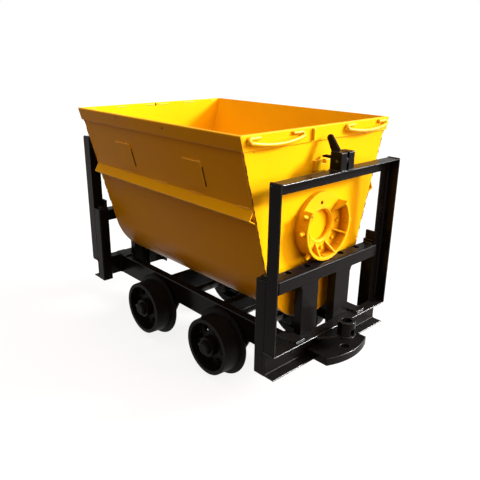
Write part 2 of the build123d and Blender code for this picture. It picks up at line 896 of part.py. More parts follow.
# Side panels: flat sheets from the round bottom to the rim.
side_base_z = trough_point(-side_lean, trough_radius)[1]
side_length = (bucket_top - side_base_z) / math.cos(lean)
with BuildPart() as side_panels:
    with BuildSketch(side_plane(-panel_length / 2, side_base_z)):
        with Locations((side_length / 2, -bucket_wall / 2)):
            Rectangle(side_length, bucket_wall)
    extrude(amount=panel_length)
    with BuildSketch(Plane.XY.offset(bucket_top)):
        Rectangle(4 * end_wall_face, 4 * end_wall_face)
    extrude(amount=4 * bucket_wall, mode=Mode.SUBTRACT)
    mirror(about=Plane.XZ)
side_panels.part.label = "side_panels"
export_step(side_panels.part, "parts/side_panels.step")

# End walls: flat plates to the trough's whole outline.
with BuildPart() as end_walls:
    with BuildSketch(Plane.YZ.offset(end_wall_face - end_wall)):
        with BuildLine():
            low_corner = trough_point(-side_lean, trough_radius)
            Polyline(
                (-low_corner[0], low_corner[1]),
                (trough_half_width, bucket_top),
                (-trough_half_width, bucket_top),
                low_corner,
            )
            ThreePointArc(
                low_corner,
                (0, trough_center_z - trough_radius),
                (-low_corner[0], low_corner[1]),
            )
        make_face()
    extrude(amount=end_wall)
    mirror(about=Plane.YZ)
end_walls.part.label = "end_walls"
export_step(end_walls.part, "parts/end_walls.step")

# Rim bands: flat bar round the top edge, leaning with the sides and upright on the ends.
band_slope = rim_band_height / math.cos(lean)
band_half_length = end_wall_face + rim_band
with BuildPart() as rim_sides:
    with BuildSketch(side_plane(-band_half_length, band_bottom)):
        with Locations((band_slope / 2, rim_band / 2)):
            Rectangle(band_slope + 2 * rim_band, rim_band)
    extrude(amount=2 * band_half_length)
    with BuildSketch(Plane.XY.offset(bucket_top)):
        Rectangle(4 * end_wall_face, 4 * end_wall_face)
    extrude(amount=4 * rim_band, mode=Mode.SUBTRACT)
    with BuildSketch(Plane.XY.offset(band_bottom)):
        Rectangle(4 * end_wall_face, 4 * end_wall_face)
    extrude(amount=-4 * rim_band, mode=Mode.SUBTRACT)
    top_outer = rim_sides.edges().filter_by(Axis.X).group_by(Axis.Z)[-1].sort_by(Axis.Y)[0]
    fillet(top_outer, rim_band_round)
    mirror(about=Plane.XZ)
rim_sides.part.label = "rim_sides"
export_step(rim_sides.part, "parts/rim_sides.step")

with BuildPart() as rim_ends:
    low_y = -side_y(band_bottom)
    with BuildSketch(Plane.YZ.offset(end_wall_face)):
        with BuildLine():
            Polyline(
                (-low_y, band_bottom),
                (low_y, band_bottom),
                (trough_half_width, bucket_top),
                (-trough_half_width, bucket_top),
                close=True,
            )
        make_face()
    extrude(amount=rim_band)
    top_outer = rim_ends.edges().filter_by(Axis.Y).group_by(Axis.Z)[-1].sort_by(Axis.X)[-1]
    fillet(top_outer, rim_band_round)
    mirror(about=Plane.YZ)
rim_ends.part.label = "rim_ends"
export_step(rim_ends.part, "parts/rim_ends.step")

# Band ribs: one upright stiffener beside the latch on each end's band.
with BuildPart() as band_ribs:
    with BuildSketch(Plane.YZ.offset(end_wall_face + rim_band)):
        with Locations((band_rib_y, bucket_top - rim_band_height / 2)):
            Rectangle(band_rib_width, rim_band_height - 2 * band_rib_drop)
    extrude(amount=band_rib_reach)
    chamfer(band_ribs.edges().group_by(Axis.X)[-1].filter_by(Axis.Y), band_rib_chamfer)
    add(band_ribs.part.rotate(Axis.Z, 180))
band_ribs.part.label = "band_ribs"
export_step(band_ribs.part, "parts/band_ribs.step")

# Side belts: angle iron welded toes-in along the sides, corner outwards.
toe = belt_leg / math.sqrt(2)
toe_inner = toe - belt_wall * math.sqrt(2)
with BuildPart() as side_belts:
    with BuildSketch(side_plane(-belt_half_length, belt_z)):
        with BuildLine():
            Polyline(
                (toe, 0),
                (0, toe),
                (-toe, 0),
                (-toe_inner, 0),
                (0, toe_inner),
                (toe_inner, 0),
                close=True,
            )
        make_face()
    extrude(amount=2 * belt_half_length)
    mirror(about=Plane.XZ)
side_belts.part.label = "side_belts"
export_step(side_belts.part, "parts/side_belts.step")

# Doublers: rectangular stiffening pads on the side panels above the belts.
with BuildPart() as doublers:
    with BuildSketch(side_plane(doubler_x - doubler_length / 2, doubler_z)):
        with Locations((0, doubler / 2)):
            Rectangle(doubler_width, doubler)
    extrude(amount=doubler_length)
    mirror_xy()
doublers.part.label = "doublers"
export_step(doublers.part, "parts/doublers.step")

# Grab handles: bowed rods hanging outwards, their ends turned back and welded to the bands.
handle_x = end_wall_face + rim_band + handle_rod_radius - handle_seat
handle_middle_y = -handle_inner_y - handle_length / 2
handle_tilt = math.radians(handle_pitch)
handle_plane = Plane(
    origin=(handle_x, handle_middle_y, handle_z),
    x_dir=(0, 1, 0),
    z_dir=(math.sin(handle_tilt), 0, -math.cos(handle_tilt)),
)
turn = handle_turn_radius
turn_y = handle_length / 2 - turn
with BuildPart() as grab_handles:
    with BuildLine(handle_plane) as handle_path:
        Line((-turn_y + handle_end_length, 0), (-turn_y, 0))
        ThreePointArc((-turn_y, 0), (-turn_y - turn, turn), (-turn_y, 2 * turn))
        ThreePointArc((-turn_y, 2 * turn), (0, 2 * turn + handle_sag), (turn_y, 2 * turn))
        ThreePointArc((turn_y, 2 * turn), (turn_y + turn, turn), (turn_y, 0))
        Line((turn_y, 0), (turn_y - handle_end_length, 0))
    with BuildSketch(Plane(handle_path.line @ 0, z_dir=handle_path.line % 0)):
        Circle(handle_rod_radius)
    sweep(path=handle_path.line)
    with BuildSketch(Plane.YZ.offset(end_wall_face + rim_band)):
        with Locations((handle_middle_y, handle_z)):
            Rectangle(2 * handle_length, 4 * handle_rod_radius)
    extrude(amount=-handle_rod_radius, mode=Mode.SUBTRACT)
    mirror_xy()
grab_handles.part.label = "grab_handles"
export_step(grab_handles.part, "parts/grab_handles.step")

# Latch lugs: notched catch blocks on the end walls under the lever noses.
with BuildPart() as latch_lugs:
    with BuildSketch(Plane.YZ.offset(end_wall_face)):
        with BuildLine():
            Polyline(
                (-lug_half_width, lug_top - lug_height),
                (lug_half_width, lug_top - lug_height),
                (lug_half_width, lug_top),
                (lug_notch_half, lug_top),
                (lug_notch_half, lug_top - lug_notch_depth),
                (-lug_notch_half, lug_top - lug_notch_depth),
                (-lug_notch_half, lug_top),
                (-lug_half_width, lug_top),
                close=True,
            )
        make_face()
    extrude(amount=lug_thickness)
    mirror(about=Plane.YZ)
latch_lugs.part.label = "latch_lugs"
export_step(latch_lugs.part, "parts/latch_lugs.step")
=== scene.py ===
import json
import math
import random

import bmesh
import bpy
from mathutils import Euler, Matrix, Vector
from mathutils.bvhtree import BVHTree


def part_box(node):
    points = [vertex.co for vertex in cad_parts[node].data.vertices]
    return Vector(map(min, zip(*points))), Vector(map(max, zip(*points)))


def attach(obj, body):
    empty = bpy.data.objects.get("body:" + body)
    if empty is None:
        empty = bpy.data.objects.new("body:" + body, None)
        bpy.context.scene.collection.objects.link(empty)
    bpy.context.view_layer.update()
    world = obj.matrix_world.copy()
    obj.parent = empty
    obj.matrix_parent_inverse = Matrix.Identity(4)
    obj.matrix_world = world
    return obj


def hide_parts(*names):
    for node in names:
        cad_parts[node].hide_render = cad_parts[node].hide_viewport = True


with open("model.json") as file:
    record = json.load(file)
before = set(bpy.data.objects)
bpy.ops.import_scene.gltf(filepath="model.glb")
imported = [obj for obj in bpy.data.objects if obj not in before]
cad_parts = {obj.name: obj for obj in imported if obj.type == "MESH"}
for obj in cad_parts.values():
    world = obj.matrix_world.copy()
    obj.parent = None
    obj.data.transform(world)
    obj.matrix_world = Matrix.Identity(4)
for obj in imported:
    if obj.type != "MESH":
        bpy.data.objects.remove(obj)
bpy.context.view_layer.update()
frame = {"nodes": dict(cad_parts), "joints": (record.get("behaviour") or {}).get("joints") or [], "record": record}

mm = 0.001


def say(stage):
    print("ore cart:", stage)


# camera, fitted to the photograph's viewing angle
photoView = {
    "lens": 40.468,
    "place": (2.0645, -1.8492, 1.5599),
    "lookAt": (-0.0172, 0.0577, 0.5448),
    "roll": 0.577,  # degrees
    "shift": (0.01773, 0.00226),
}


def makeCamera():
    data = bpy.data.cameras.new("photoCamera")
    data.lens = photoView["lens"]
    data.shift_x, data.shift_y = photoView["shift"]
    camera = bpy.data.objects.new("photoCamera", data)
    bpy.context.scene.collection.objects.link(camera)
    place = Vector(photoView["place"])
    aim = (Vector(photoView["lookAt"]) - place).to_track_quat("-Z", "Y")
    turn = Euler((0, 0, math.radians(photoView["roll"]))).to_quaternion()
    camera.location = place
    camera.rotation_mode = "QUATERNION"
    camera.rotation_quaternion = aim @ turn
    bpy.context.scene.camera = camera


makeCamera()
say("camera")


# short helpers for node trees, the same for shaders and for Geometry Nodes
def feed(tree, socket, value):
    if isinstance(value, bpy.types.NodeSocket):
        tree.links.new(value, socket)
    else:
        socket.default_value = value


def addNode(tree, kind, inputs=None, **settings):
    node = tree.nodes.new(kind)
    for key, value in settings.items():
        setattr(node, key, value)
    for key, value in (inputs or {}).items():
        feed(tree, node.inputs[key], value)
    return node


def calc(tree, operation, *values):
    node = tree.nodes.new("ShaderNodeMath")
    node.operation = operation
    for socket, value in zip(node.inputs, values):
        feed(tree, socket, value)
    return node.outputs[0]


def ramp(tree, value, low, high, start=0.0, end=1.0):
    inputs = {"Value": value, "From Min": low, "From Max": high, "To Min": start, "To Max": end}
    return addNode(tree, "ShaderNodeMapRange", inputs).outputs["Result"]


def blendColours(tree, factor, first, second):
    node = addNode(tree, "ShaderNodeMix", data_type="RGBA")
    for socket, value in zip((node.inputs[0], node.inputs[6], node.inputs[7]), (factor, first, second)):
        feed(tree, socket, value)
    return node.outputs[2]


def noise(tree, vector, scale, detail=3.0, roughness=0.5):
    inputs = {"Vector": vector, "Scale": scale, "Detail": detail, "Roughness": roughness}
    return addNode(tree, "ShaderNodeTexNoise", inputs).outputs[0]


socketKinds = {
    "float": "NodeSocketFloat",
    "vector": "NodeSocketVector",
    "colour": "NodeSocketColor",
    "geometry": "NodeSocketGeometry",
    "material": "NodeSocketMaterial",
    "int": "NodeSocketInt",
}


def newGroup(name, kind, inputs, outputs):
    tree = bpy.data.node_groups.new(name, kind)
    for label, form, value in inputs:
        made = tree.interface.new_socket(name=label, in_out="INPUT", socket_type=socketKinds[form])
        if value is not None:
            made.default_value = value
    for label, form in outputs:
        tree.interface.new_socket(name=label, in_out="OUTPUT", socket_type=socketKinds[form])
    return tree, tree.nodes.new("NodeGroupInput").outputs, tree.nodes.new("NodeGroupOutput")


def useGroup(tree, group, **inputs):
    node = tree.nodes.new("ShaderNodeGroup")
    node.node_tree = group
    for key, value in inputs.items():
        feed(tree, node.inputs[key], value)
    return node.outputs


# shader groups that more than one finish uses
def buildEdgeWear():
    inputs = [
        ("Vector", "vector", None),
        ("Radius", "float", 0.003),
        ("Scale", "float", 60.0),
        ("Amount", "float", 0.5),
    ]
    tree, given, out = newGroup("edgeWear", "ShaderNodeTree", inputs, [("Mask", "float"), ("Edge", "float")])
    rounded = addNode(tree, "ShaderNodeBevel", {"Radius": given["Radius"]}, samples=4)
    surface = addNode(tree, "ShaderNodeNewGeometry")
    facing = addNode(tree, "ShaderNodeVectorMath", operation="DOT_PRODUCT")
    feed(tree, facing.inputs[0], rounded.outputs["Normal"])
    feed(tree, facing.inputs[1], surface.outputs["Normal"])
    edge = ramp(tree, facing.outputs["Value"], 0.995, 0.86)
    reach = calc(tree, "MULTIPLY", given["Radius"], 4.0)
    hollow = addNode(tree, "ShaderNodeAmbientOcclusion", {"Distance": reach}, samples=4, only_local=True)
    exposed = ramp(tree, hollow.outputs["AO"], 0.72, 0.9)
    patches = noise(tree, given["Vector"], given["Scale"], 5.0, 0.6)
    start = calc(tree, "SUBTRACT", 0.8, calc(tree, "MULTIPLY", given["Amount"], 0.6))
    broken = ramp(tree, patches, start, calc(tree, "ADD", start, 0.06))
    whole = calc(tree, "MULTIPLY", edge, exposed)
    feed(tree, out.inputs["Mask"], calc(tree, "MULTIPLY", whole, broken))
    feed(tree, out.inputs["Edge"], whole)
    return tree


def buildPaintFilm():
    inputs = [("Vector", "vector", None), ("Peel", "float", 420.0), ("Waviness", "float", 5.0)]
    outputs = [("Height", "float"), ("Tone", "float")]
    tree, given, out = newGroup("paintFilm", "ShaderNodeTree", inputs, outputs)
    peel = noise(tree, given["Vector"], given["Peel"], 2.0, 0.5)
    sheet = noise(tree, given["Vector"], given["Waviness"], 1.0, 0.4)
    height = calc(tree, "ADD", calc(tree, "MULTIPLY", peel, 0.05), calc(tree, "MULTIPLY", sheet, 2.2))
    feed(tree, out.inputs["Height"], height)
    feed(tree, out.inputs["Tone"], noise(tree, given["Vector"], 2.4, 4.0, 0.55))
    return tree


def buildCastGrain():
    inputs = [("Vector", "vector", None), ("Scale", "float", 260.0)]
    tree, given, out = newGroup("castGrain", "ShaderNodeTree", inputs, [("Height", "float")])
    grain = noise(tree, given["Vector"], given["Scale"], 3.0, 0.6)
    lumps = noise(tree, given["Vector"], calc(tree, "MULTIPLY", given["Scale"], 0.16), 2.0, 0.5)
    feed(tree, out.inputs["Height"], calc(tree, "ADD", grain, calc(tree, "MULTIPLY", lumps, 2.0)))
    return tree


def buildSpecks():
    inputs = [
        ("Vector", "vector", None),
        ("Scale", "float", 30.0),
        ("Size", "float", 0.1),
        ("Amount", "float", 0.3),
    ]
    tree, given, out = newGroup("specks", "ShaderNodeTree", inputs, [("Mask", "float")])
    bent = addNode(tree, "ShaderNodeVectorMath", operation="MULTIPLY_ADD")
    wobble = addNode(tree, "ShaderNodeTexNoise", {"Vector": given["Vector"], "Scale": 160.0, "Detail": 2.0})
    feed(tree, bent.inputs[0], wobble.outputs["Color"])
    feed(tree, bent.inputs[1], (0.006, 0.006, 0.006))
    feed(tree, bent.inputs[2], given["Vector"])
    cells = addNode(tree, "ShaderNodeTexVoronoi", {"Vector": bent.outputs[0], "Scale": given["Scale"]})
    spot = ramp(tree, cells.outputs["Distance"], given["Size"], calc(tree, "MULTIPLY", given["Size"], 0.6))
    pick = addNode(tree, "ShaderNodeSeparateColor", {"Color": cells.outputs["Color"]}).outputs[0]
    kept = calc(tree, "LESS_THAN", pick, given["Amount"])
    feed(tree, out.inputs["Mask"], calc(tree, "MULTIPLY", spot, kept))
    return tree


def buildDustFall():
    inputs = [("Vector", "vector", None), ("Scale", "float", 9.0), ("Amount", "float", 0.5)]
    tree, given, out = newGroup("dustFall", "ShaderNodeTree", inputs, [("Mask", "float")])
    normal = addNode(tree, "ShaderNodeNewGeometry").outputs["Normal"]
    upward = addNode(tree, "ShaderNodeSeparateXYZ", {"Vector": normal}).outputs["Z"]
    settled = ramp(tree, upward, 0.2, 0.95)
    crevice = addNode(tree, "ShaderNodeAmbientOcclusion", {"Distance": 0.03}, samples=4).outputs["AO"]
    packed = ramp(tree, crevice, 0.65, 0.25, 0.0, 0.6)
    cloudy = ramp(tree, noise(tree, given["Vector"], given["Scale"], 5.0, 0.62), 0.35, 0.75)
    both = calc(tree, "MAXIMUM", settled, packed)
    patchy = calc(tree, "MULTIPLY", both, cloudy)
    feed(tree, out.inputs["Mask"], calc(tree, "MULTIPLY", patchy, given["Amount"]))
    return tree


rustColours = {"dark": (0.055, 0.017, 0.008, 1), "light": (0.2, 0.065, 0.02, 1)}


def buildRustBloom():
    inputs = [("Vector", "vector", None), ("Scale", "float", 14.0), ("Amount", "float", 0.3)]
    outputs = [("Mask", "float"), ("Color", "colour")]
    tree, given, out = newGroup("rustBloom", "ShaderNodeTree", inputs, outputs)
    cloud = noise(tree, given["Vector"], given["Scale"], 8.0, 0.68)
    start = calc(tree, "SUBTRACT", 0.82, calc(tree, "MULTIPLY", given["Amount"], 0.5))
    feed(tree, out.inputs["Mask"], ramp(tree, cloud, start, calc(tree, "ADD", start, 0.12)))
    grain = noise(tree, given["Vector"], 190.0, 3.0, 0.6)
    shade = ramp(tree, grain, 0.3, 0.7)
    feed(tree, out.inputs["Color"], blendColours(tree, shade, rustColours["dark"], rustColours["light"]))
    return tree


def buildScratches():
    inputs = [("Vector", "vector", None), ("Scale", "float", 9.0), ("Amount", "float", 0.3)]
    tree, given, out = newGroup("scratches", "ShaderNodeTree", inputs, [("Mask", "float")])
    total = 0.0
    for turn, stretch in ((24, (1, 22, 9)), (-38, (14, 1, 20)), (71, (2, 17, 26))):
        turned = addNode(tree, "ShaderNodeMapping", {"Vector": given["Vector"]})
        angles = (math.radians(turn), math.radians(turn / 2), math.radians(turn))
        turned.inputs["Rotation"].default_value = angles
        turned.inputs["Scale"].default_value = stretch
        thread = noise(tree, turned.outputs[0], given["Scale"], 2.0, 0.5)
        line = ramp(tree, calc(tree, "ABSOLUTE", calc(tree, "SUBTRACT", thread, 0.5)), 0.006, 0.002)
        total = calc(tree, "MAXIMUM", total, line)
    here = ramp(tree, noise(tree, given["Vector"], 3.1, 4.0, 0.6), 0.62, 0.75)
    mask = calc(tree, "MULTIPLY", calc(tree, "MULTIPLY", total, here), given["Amount"])
    feed(tree, out.inputs["Mask"], mask)
    return tree


edgeWear = buildEdgeWear()
paintFilm = buildPaintFilm()
castGrain = buildCastGrain()
specks = buildSpecks()
dustFall = buildDustFall()
rustBloom = buildRustBloom()
scratches = buildScratches()


# finishes: what a user would change is in each finish's dictionary
yellowPaint = {
    "colour": (0.88, 0.5, 0.003, 1),
    "sunk": (0.84, 0.45, 0.003, 1),  # thinner, deeper coat in the cloudier places
    "chip": (0.03, 0.013, 0.006, 1),
    "chipLight": (0.07, 0.028, 0.01, 1),
    "dust": (0.36, 0.22, 0.1, 1),
    "roughness": 0.36,
    "specular": 0.04,
    "edgeSpecular": 0.5,
    "thick": (1.0, 0.72, 0.1, 1),  # painted highlight: a lighter yellow that stands in for glints on the weld tacks
    "grime": (0.46, 0.17, 0.002, 1),  # painted shade: a darker orange laid into the castings' pockets where ambient occlusion is low
}
blackPaint = {
    "colour": (0.0062, 0.006, 0.0062, 1),
    # grey of worn edges and scratches; kept mostly to upward-facing edges, it is also a painted highlight there
    "worn": (0.16, 0.155, 0.15, 1),
    "dust": (0.06, 0.055, 0.05, 1),
    "roughness": 0.24,
    "specular": 0.05,
    "edgeSpecular": 0.62,
}
castIron = {
    "colour": (0.005, 0.0045, 0.0042, 1),
    "dust": (0.05, 0.04, 0.032, 1),
    "worn": (0.05, 0.04, 0.034, 1),
    "roughness": 0.5,
    "specular": 0.05,
}
turnedSteel = {"colour": (0.07, 0.066, 0.062, 1), "grease": (0.012, 0.01, 0.008, 1), "roughness": 0.38}


def newFinish(name):
    made = bpy.data.materials.new(name)
    made.use_nodes = True
    tree = made.node_tree
    place = addNode(tree, "ShaderNodeTexCoord").outputs["Object"]
    return made, tree, tree.nodes["Principled BSDF"], place


def bump(tree, shader, height, strength, distance):
    inputs = {"Height": height, "Strength": strength, "Distance": distance}
    feed(tree, shader.inputs["Normal"], addNode(tree, "ShaderNodeBump", inputs).outputs[0])


def yellowFinish(name, grain=0.0, chips=0.35, dust=0.1, gloss=0.0, lift=0.0, grime=0.0):
    made, tree, shader, place = newFinish(name)
    film = useGroup(tree, paintFilm, Vector=place)
    edges = useGroup(tree, edgeWear, Vector=place, Radius=0.0022, Scale=75.0, Amount=chips)
    worn = edges["Mask"]
    spots = useGroup(tree, specks, Vector=place, Scale=9.0, Size=0.05, Amount=0.16)["Mask"]
    lines = useGroup(tree, scratches, Vector=place, Scale=5.0, Amount=0.5)["Mask"]
    fallen = useGroup(tree, dustFall, Vector=place, Scale=7.0, Amount=dust)["Mask"]
    cloud = ramp(tree, film["Tone"], 0.35, 0.7)
    colour = blendColours(tree, cloud, yellowPaint["sunk"], yellowPaint["colour"])
    colour = blendColours(tree, calc(tree, "MULTIPLY", lines, 0.35), colour, yellowPaint["dust"])
    colour = blendColours(tree, fallen, colour, yellowPaint["dust"])
    # painted shade: the pockets darken by ambient occlusion
    if grime:
        pocket = addNode(tree, "ShaderNodeAmbientOcclusion", {"Distance": 0.06}, samples=4).outputs["AO"]
        colour = blendColours(tree, ramp(tree, pocket, 0.75, 0.25, 0.0, grime), colour, yellowPaint["grime"])
    # painted highlight: lift blends in the lighter tack colour for the tacks' glints
    colour = blendColours(tree, lift, colour, yellowPaint["thick"])
    bare = calc(tree, "MAXIMUM", worn, spots)
    colour = blendColours(tree, calc(tree, "MULTIPLY", bare, 0.85), colour, yellowPaint["chip"])
    feed(tree, shader.inputs["Base Color"], colour)
    clean = yellowPaint["roughness"]
    rough = ramp(tree, film["Tone"], 0.3, 0.7, clean - 0.05, clean + 0.07)
    rough = calc(tree, "ADD", rough, calc(tree, "MULTIPLY", calc(tree, "MAXIMUM", fallen, bare), 0.35))
    feed(tree, shader.inputs["Roughness"], rough)
    shine = ramp(tree, edges["Edge"], 0.0, 1.0, gloss or yellowPaint["specular"], yellowPaint["edgeSpecular"])
    feed(tree, shader.inputs["Specular IOR Level"], shine)
    height = calc(tree, "SUBTRACT", film["Height"], calc(tree, "MULTIPLY", bare, 0.25))
    if grain:
        cast = useGroup(tree, castGrain, Vector=place, Scale=240.0)["Height"]
        height = calc(tree, "ADD", height, calc(tree, "MULTIPLY", cast, grain))
    bump(tree, shader, height, 0.5, 0.0012)
    return made


def blackFinish(name, rust=0.16, wear=0.5, dust=0.1, shiny=False):
    made, tree, shader, place = newFinish(name)
    film = useGroup(tree, paintFilm, Vector=place, Peel=360.0, Waviness=9.0)
    edges = useGroup(tree, edgeWear, Vector=place, Radius=0.003, Scale=48.0, Amount=wear)
    worn = edges["Mask"]
    lines = useGroup(tree, scratches, Vector=place, Scale=7.0, Amount=0.6)["Mask"]
    bloom = useGroup(tree, rustBloom, Vector=place, Scale=11.0, Amount=rust)
    fallen = useGroup(tree, dustFall, Vector=place, Scale=10.0, Amount=dust)["Mask"]
    colour = blendColours(tree, calc(tree, "MULTIPLY", lines, 0.5), blackPaint["colour"], blackPaint["worn"])
    colour = blendColours(tree, fallen, colour, blackPaint["dust"])
    colour = blendColours(tree, calc(tree, "MULTIPLY", bloom["Mask"], 0.7), colour, bloom["Color"])
    facing = addNode(tree, "ShaderNodeTexCoord").outputs["Normal"]
    upward = addNode(tree, "ShaderNodeSeparateXYZ", {"Vector": facing}).outputs["Z"]
    # the worn grey stays mostly on upward-facing edges: real wear, and painted highlight where the top edges glint
    worn = calc(tree, "MULTIPLY", worn, ramp(tree, upward, 0.1, 0.5, 0.3, 1.0))
    colour = blendColours(tree, worn, colour, blackPaint["worn"])
    feed(tree, shader.inputs["Base Color"], colour)
    clean = blackPaint["roughness"]
    rough = ramp(tree, film["Tone"], 0.3, 0.7, clean - 0.08, clean + 0.1)
    dull = calc(tree, "MAXIMUM", fallen, bloom["Mask"])
    rough = calc(tree, "ADD", rough, calc(tree, "MULTIPLY", dull, 0.3))
    feed(tree, shader.inputs["Roughness"], rough)
    rubbed = calc(tree, "MAXIMUM", edges["Edge"], 1.0 if shiny else 0.0)
    rubbed = calc(tree, "MULTIPLY", rubbed, ramp(tree, upward, 0.1, 0.5, 0.06, 1.0))
    shine = ramp(tree, rubbed, 0.0, 1.0, blackPaint["specular"], blackPaint["edgeSpecular"])
    feed(tree, shader.inputs["Specular IOR Level"], shine)
    height = calc(tree, "SUBTRACT", film["Height"], calc(tree, "MULTIPLY", worn, 0.2))
    bump(tree, shader, height, 0.5, 0.0012)
    return made


def ironFinish(name):
    made, tree, shader, place = newFinish(name)
    grain = useGroup(tree, castGrain, Vector=place, Scale=230.0)["Height"]
    worn = useGroup(tree, edgeWear, Vector=place, Radius=0.003, Scale=38.0, Amount=0.45)["Mask"]
    bloom = useGroup(tree, rustBloom, Vector=place, Scale=9.0, Amount=0.26)
    fallen = useGroup(tree, dustFall, Vector=place, Scale=12.0, Amount=0.12)["Mask"]
    colour = blendColours(tree, fallen, castIron["colour"], castIron["dust"])
    colour = blendColours(tree, calc(tree, "MULTIPLY", bloom["Mask"], 0.45), colour, bloom["Color"])
    colour = blendColours(tree, calc(tree, "MULTIPLY", worn, 0.7), colour, castIron["worn"])
    feed(tree, shader.inputs["Base Color"], colour)
    rough = calc(tree, "ADD", castIron["roughness"], calc(tree, "MULTIPLY", bloom["Mask"], 0.25))
    feed(tree, shader.inputs["Roughness"], rough)
    shader.inputs["Specular IOR Level"].default_value = castIron["specular"]
    bump(tree, shader, grain, 0.35, 0.0008)
    return made


def steelFinish(name, rust=0.1):
    made, tree, shader, place = newFinish(name)
    turned = addNode(tree, "ShaderNodeMapping", {"Vector": place})
    turned.inputs["Scale"].default_value = (90, 900, 90)
    rings = noise(tree, turned.outputs[0], 1.0, 2.0, 0.5)
    grease = ramp(tree, noise(tree, place, 16.0, 4.0, 0.6), 0.42, 0.62)
    bloom = useGroup(tree, rustBloom, Vector=place, Scale=26.0, Amount=rust)
    colour = blendColours(tree, grease, turnedSteel["colour"], turnedSteel["grease"])
    colour = blendColours(tree, bloom["Mask"], colour, bloom["Color"])
    feed(tree, shader.inputs["Base Color"], colour)
    rusted = calc(tree, "MULTIPLY", bloom["Mask"], 0.8)
    feed(tree, shader.inputs["Metallic"], calc(tree, "SUBTRACT", 0.9, rusted))
    feed(tree, shader.inputs["Roughness"], ramp(tree, grease, 0.0, 1.0, turnedSteel["roughness"], 0.22))
    bump(tree, shader, rings, 0.2, 0.0004)
    return made


def chipFinish(name):
    made, tree, shader, place = newFinish(name)
    shade = ramp(tree, noise(tree, place, 210.0, 3.0, 0.6), 0.35, 0.65)
    colour = blendColours(tree, shade, yellowPaint["chip"], yellowPaint["chipLight"])
    feed(tree, shader.inputs["Base Color"], colour)
    shader.inputs["Roughness"].default_value = 0.7
    shader.inputs["Specular IOR Level"].default_value = 0.05
    bump(tree, shader, shade, 0.3, 0.0005)
    return made


finish = {
    "chip": chipFinish("bareChips"),
    "plate": yellowFinish("yellowPlatePaint"),
    "plateEdge": yellowFinish("yellowEdgePaint", gloss=0.6),
    # the casting finish darkens its pockets with painted shade
    "casting": yellowFinish("yellowCastingPaint", grain=0.12, chips=0.5, dust=0.12, gloss=0.12, grime=0.9),
    "handle": yellowFinish("yellowHandlePaint", grain=0.05, chips=0.3, dust=0.05, gloss=0.35),
    "seam": yellowFinish("yellowWeldPaint", grain=0.1, chips=0.05, dust=0.0, gloss=0.3),
    # the tack finish carries a painted highlight, its lighter yellow
    "tack": yellowFinish("yellowTackPaintedGlint", grain=0.1, chips=0.05, dust=0.0, gloss=0.4, lift=0.7),
    "frame": blackFinish("blackFramePaint"),
    "frameEdge": blackFinish("blackEdgePaint", wear=0.3, dust=0.0, shiny=True),
    "lever": blackFinish("blackLeverPaint", rust=0.32, wear=0.7, dust=0.1),
    "bead": blackFinish("blackWeldPaint", rust=0.1, wear=0.2, dust=0.0, shiny=True),
    "iron": ironFinish("castWheelIron"),
    "steel": steelFinish("greasedSteel"),
    "fastener": steelFinish("rustyFastener", rust=0.5),
}
say("finishes")


# dressed copies of the CAD nodes: merged, with their edges broken as rolled and cut steel has them
def cleanShape(node):
    shape = bmesh.new()
    shape.from_mesh(frame["nodes"][node].data)
    bmesh.ops.remove_doubles(shape, verts=shape.verts, dist=0.02 * mm)
    flat = math.radians(0.8)
    bmesh.ops.dissolve_limit(shape, angle_limit=flat, verts=shape.verts, edges=shape.edges)
    return shape


def finishMesh(mesh, name, body, look, bevel):
    mesh.materials.clear()
    mesh.materials.append(finish[look])
    if look + "Edge" in finish:
        mesh.materials.append(finish[look + "Edge"])
    piece = bpy.data.objects.new(name, mesh)
    bpy.context.scene.collection.objects.link(piece)
    for face in mesh.polygons:
        face.use_smooth = True
    mesh.set_sharp_from_angle(angle=math.radians(60 if bevel else 35))
    if bevel:
        edges = piece.modifiers.new("brokenEdges", "BEVEL")
        edges.width = bevel * mm
        edges.segments = 2
        edges.limit_method = "ANGLE"
        edges.angle_limit = math.radians(32)
        edges.material = len(mesh.materials) - 1
        piece.modifiers.new("flatFaces", "WEIGHTED_NORMAL").keep_sharp = True
        made = bpy.data.meshes.new_from_object(piece.evaluated_get(bpy.context.evaluated_depsgraph_get()))
        piece.modifiers.clear()
        piece.data = made
    piece.data.name = name
    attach(piece, body)
    return piece


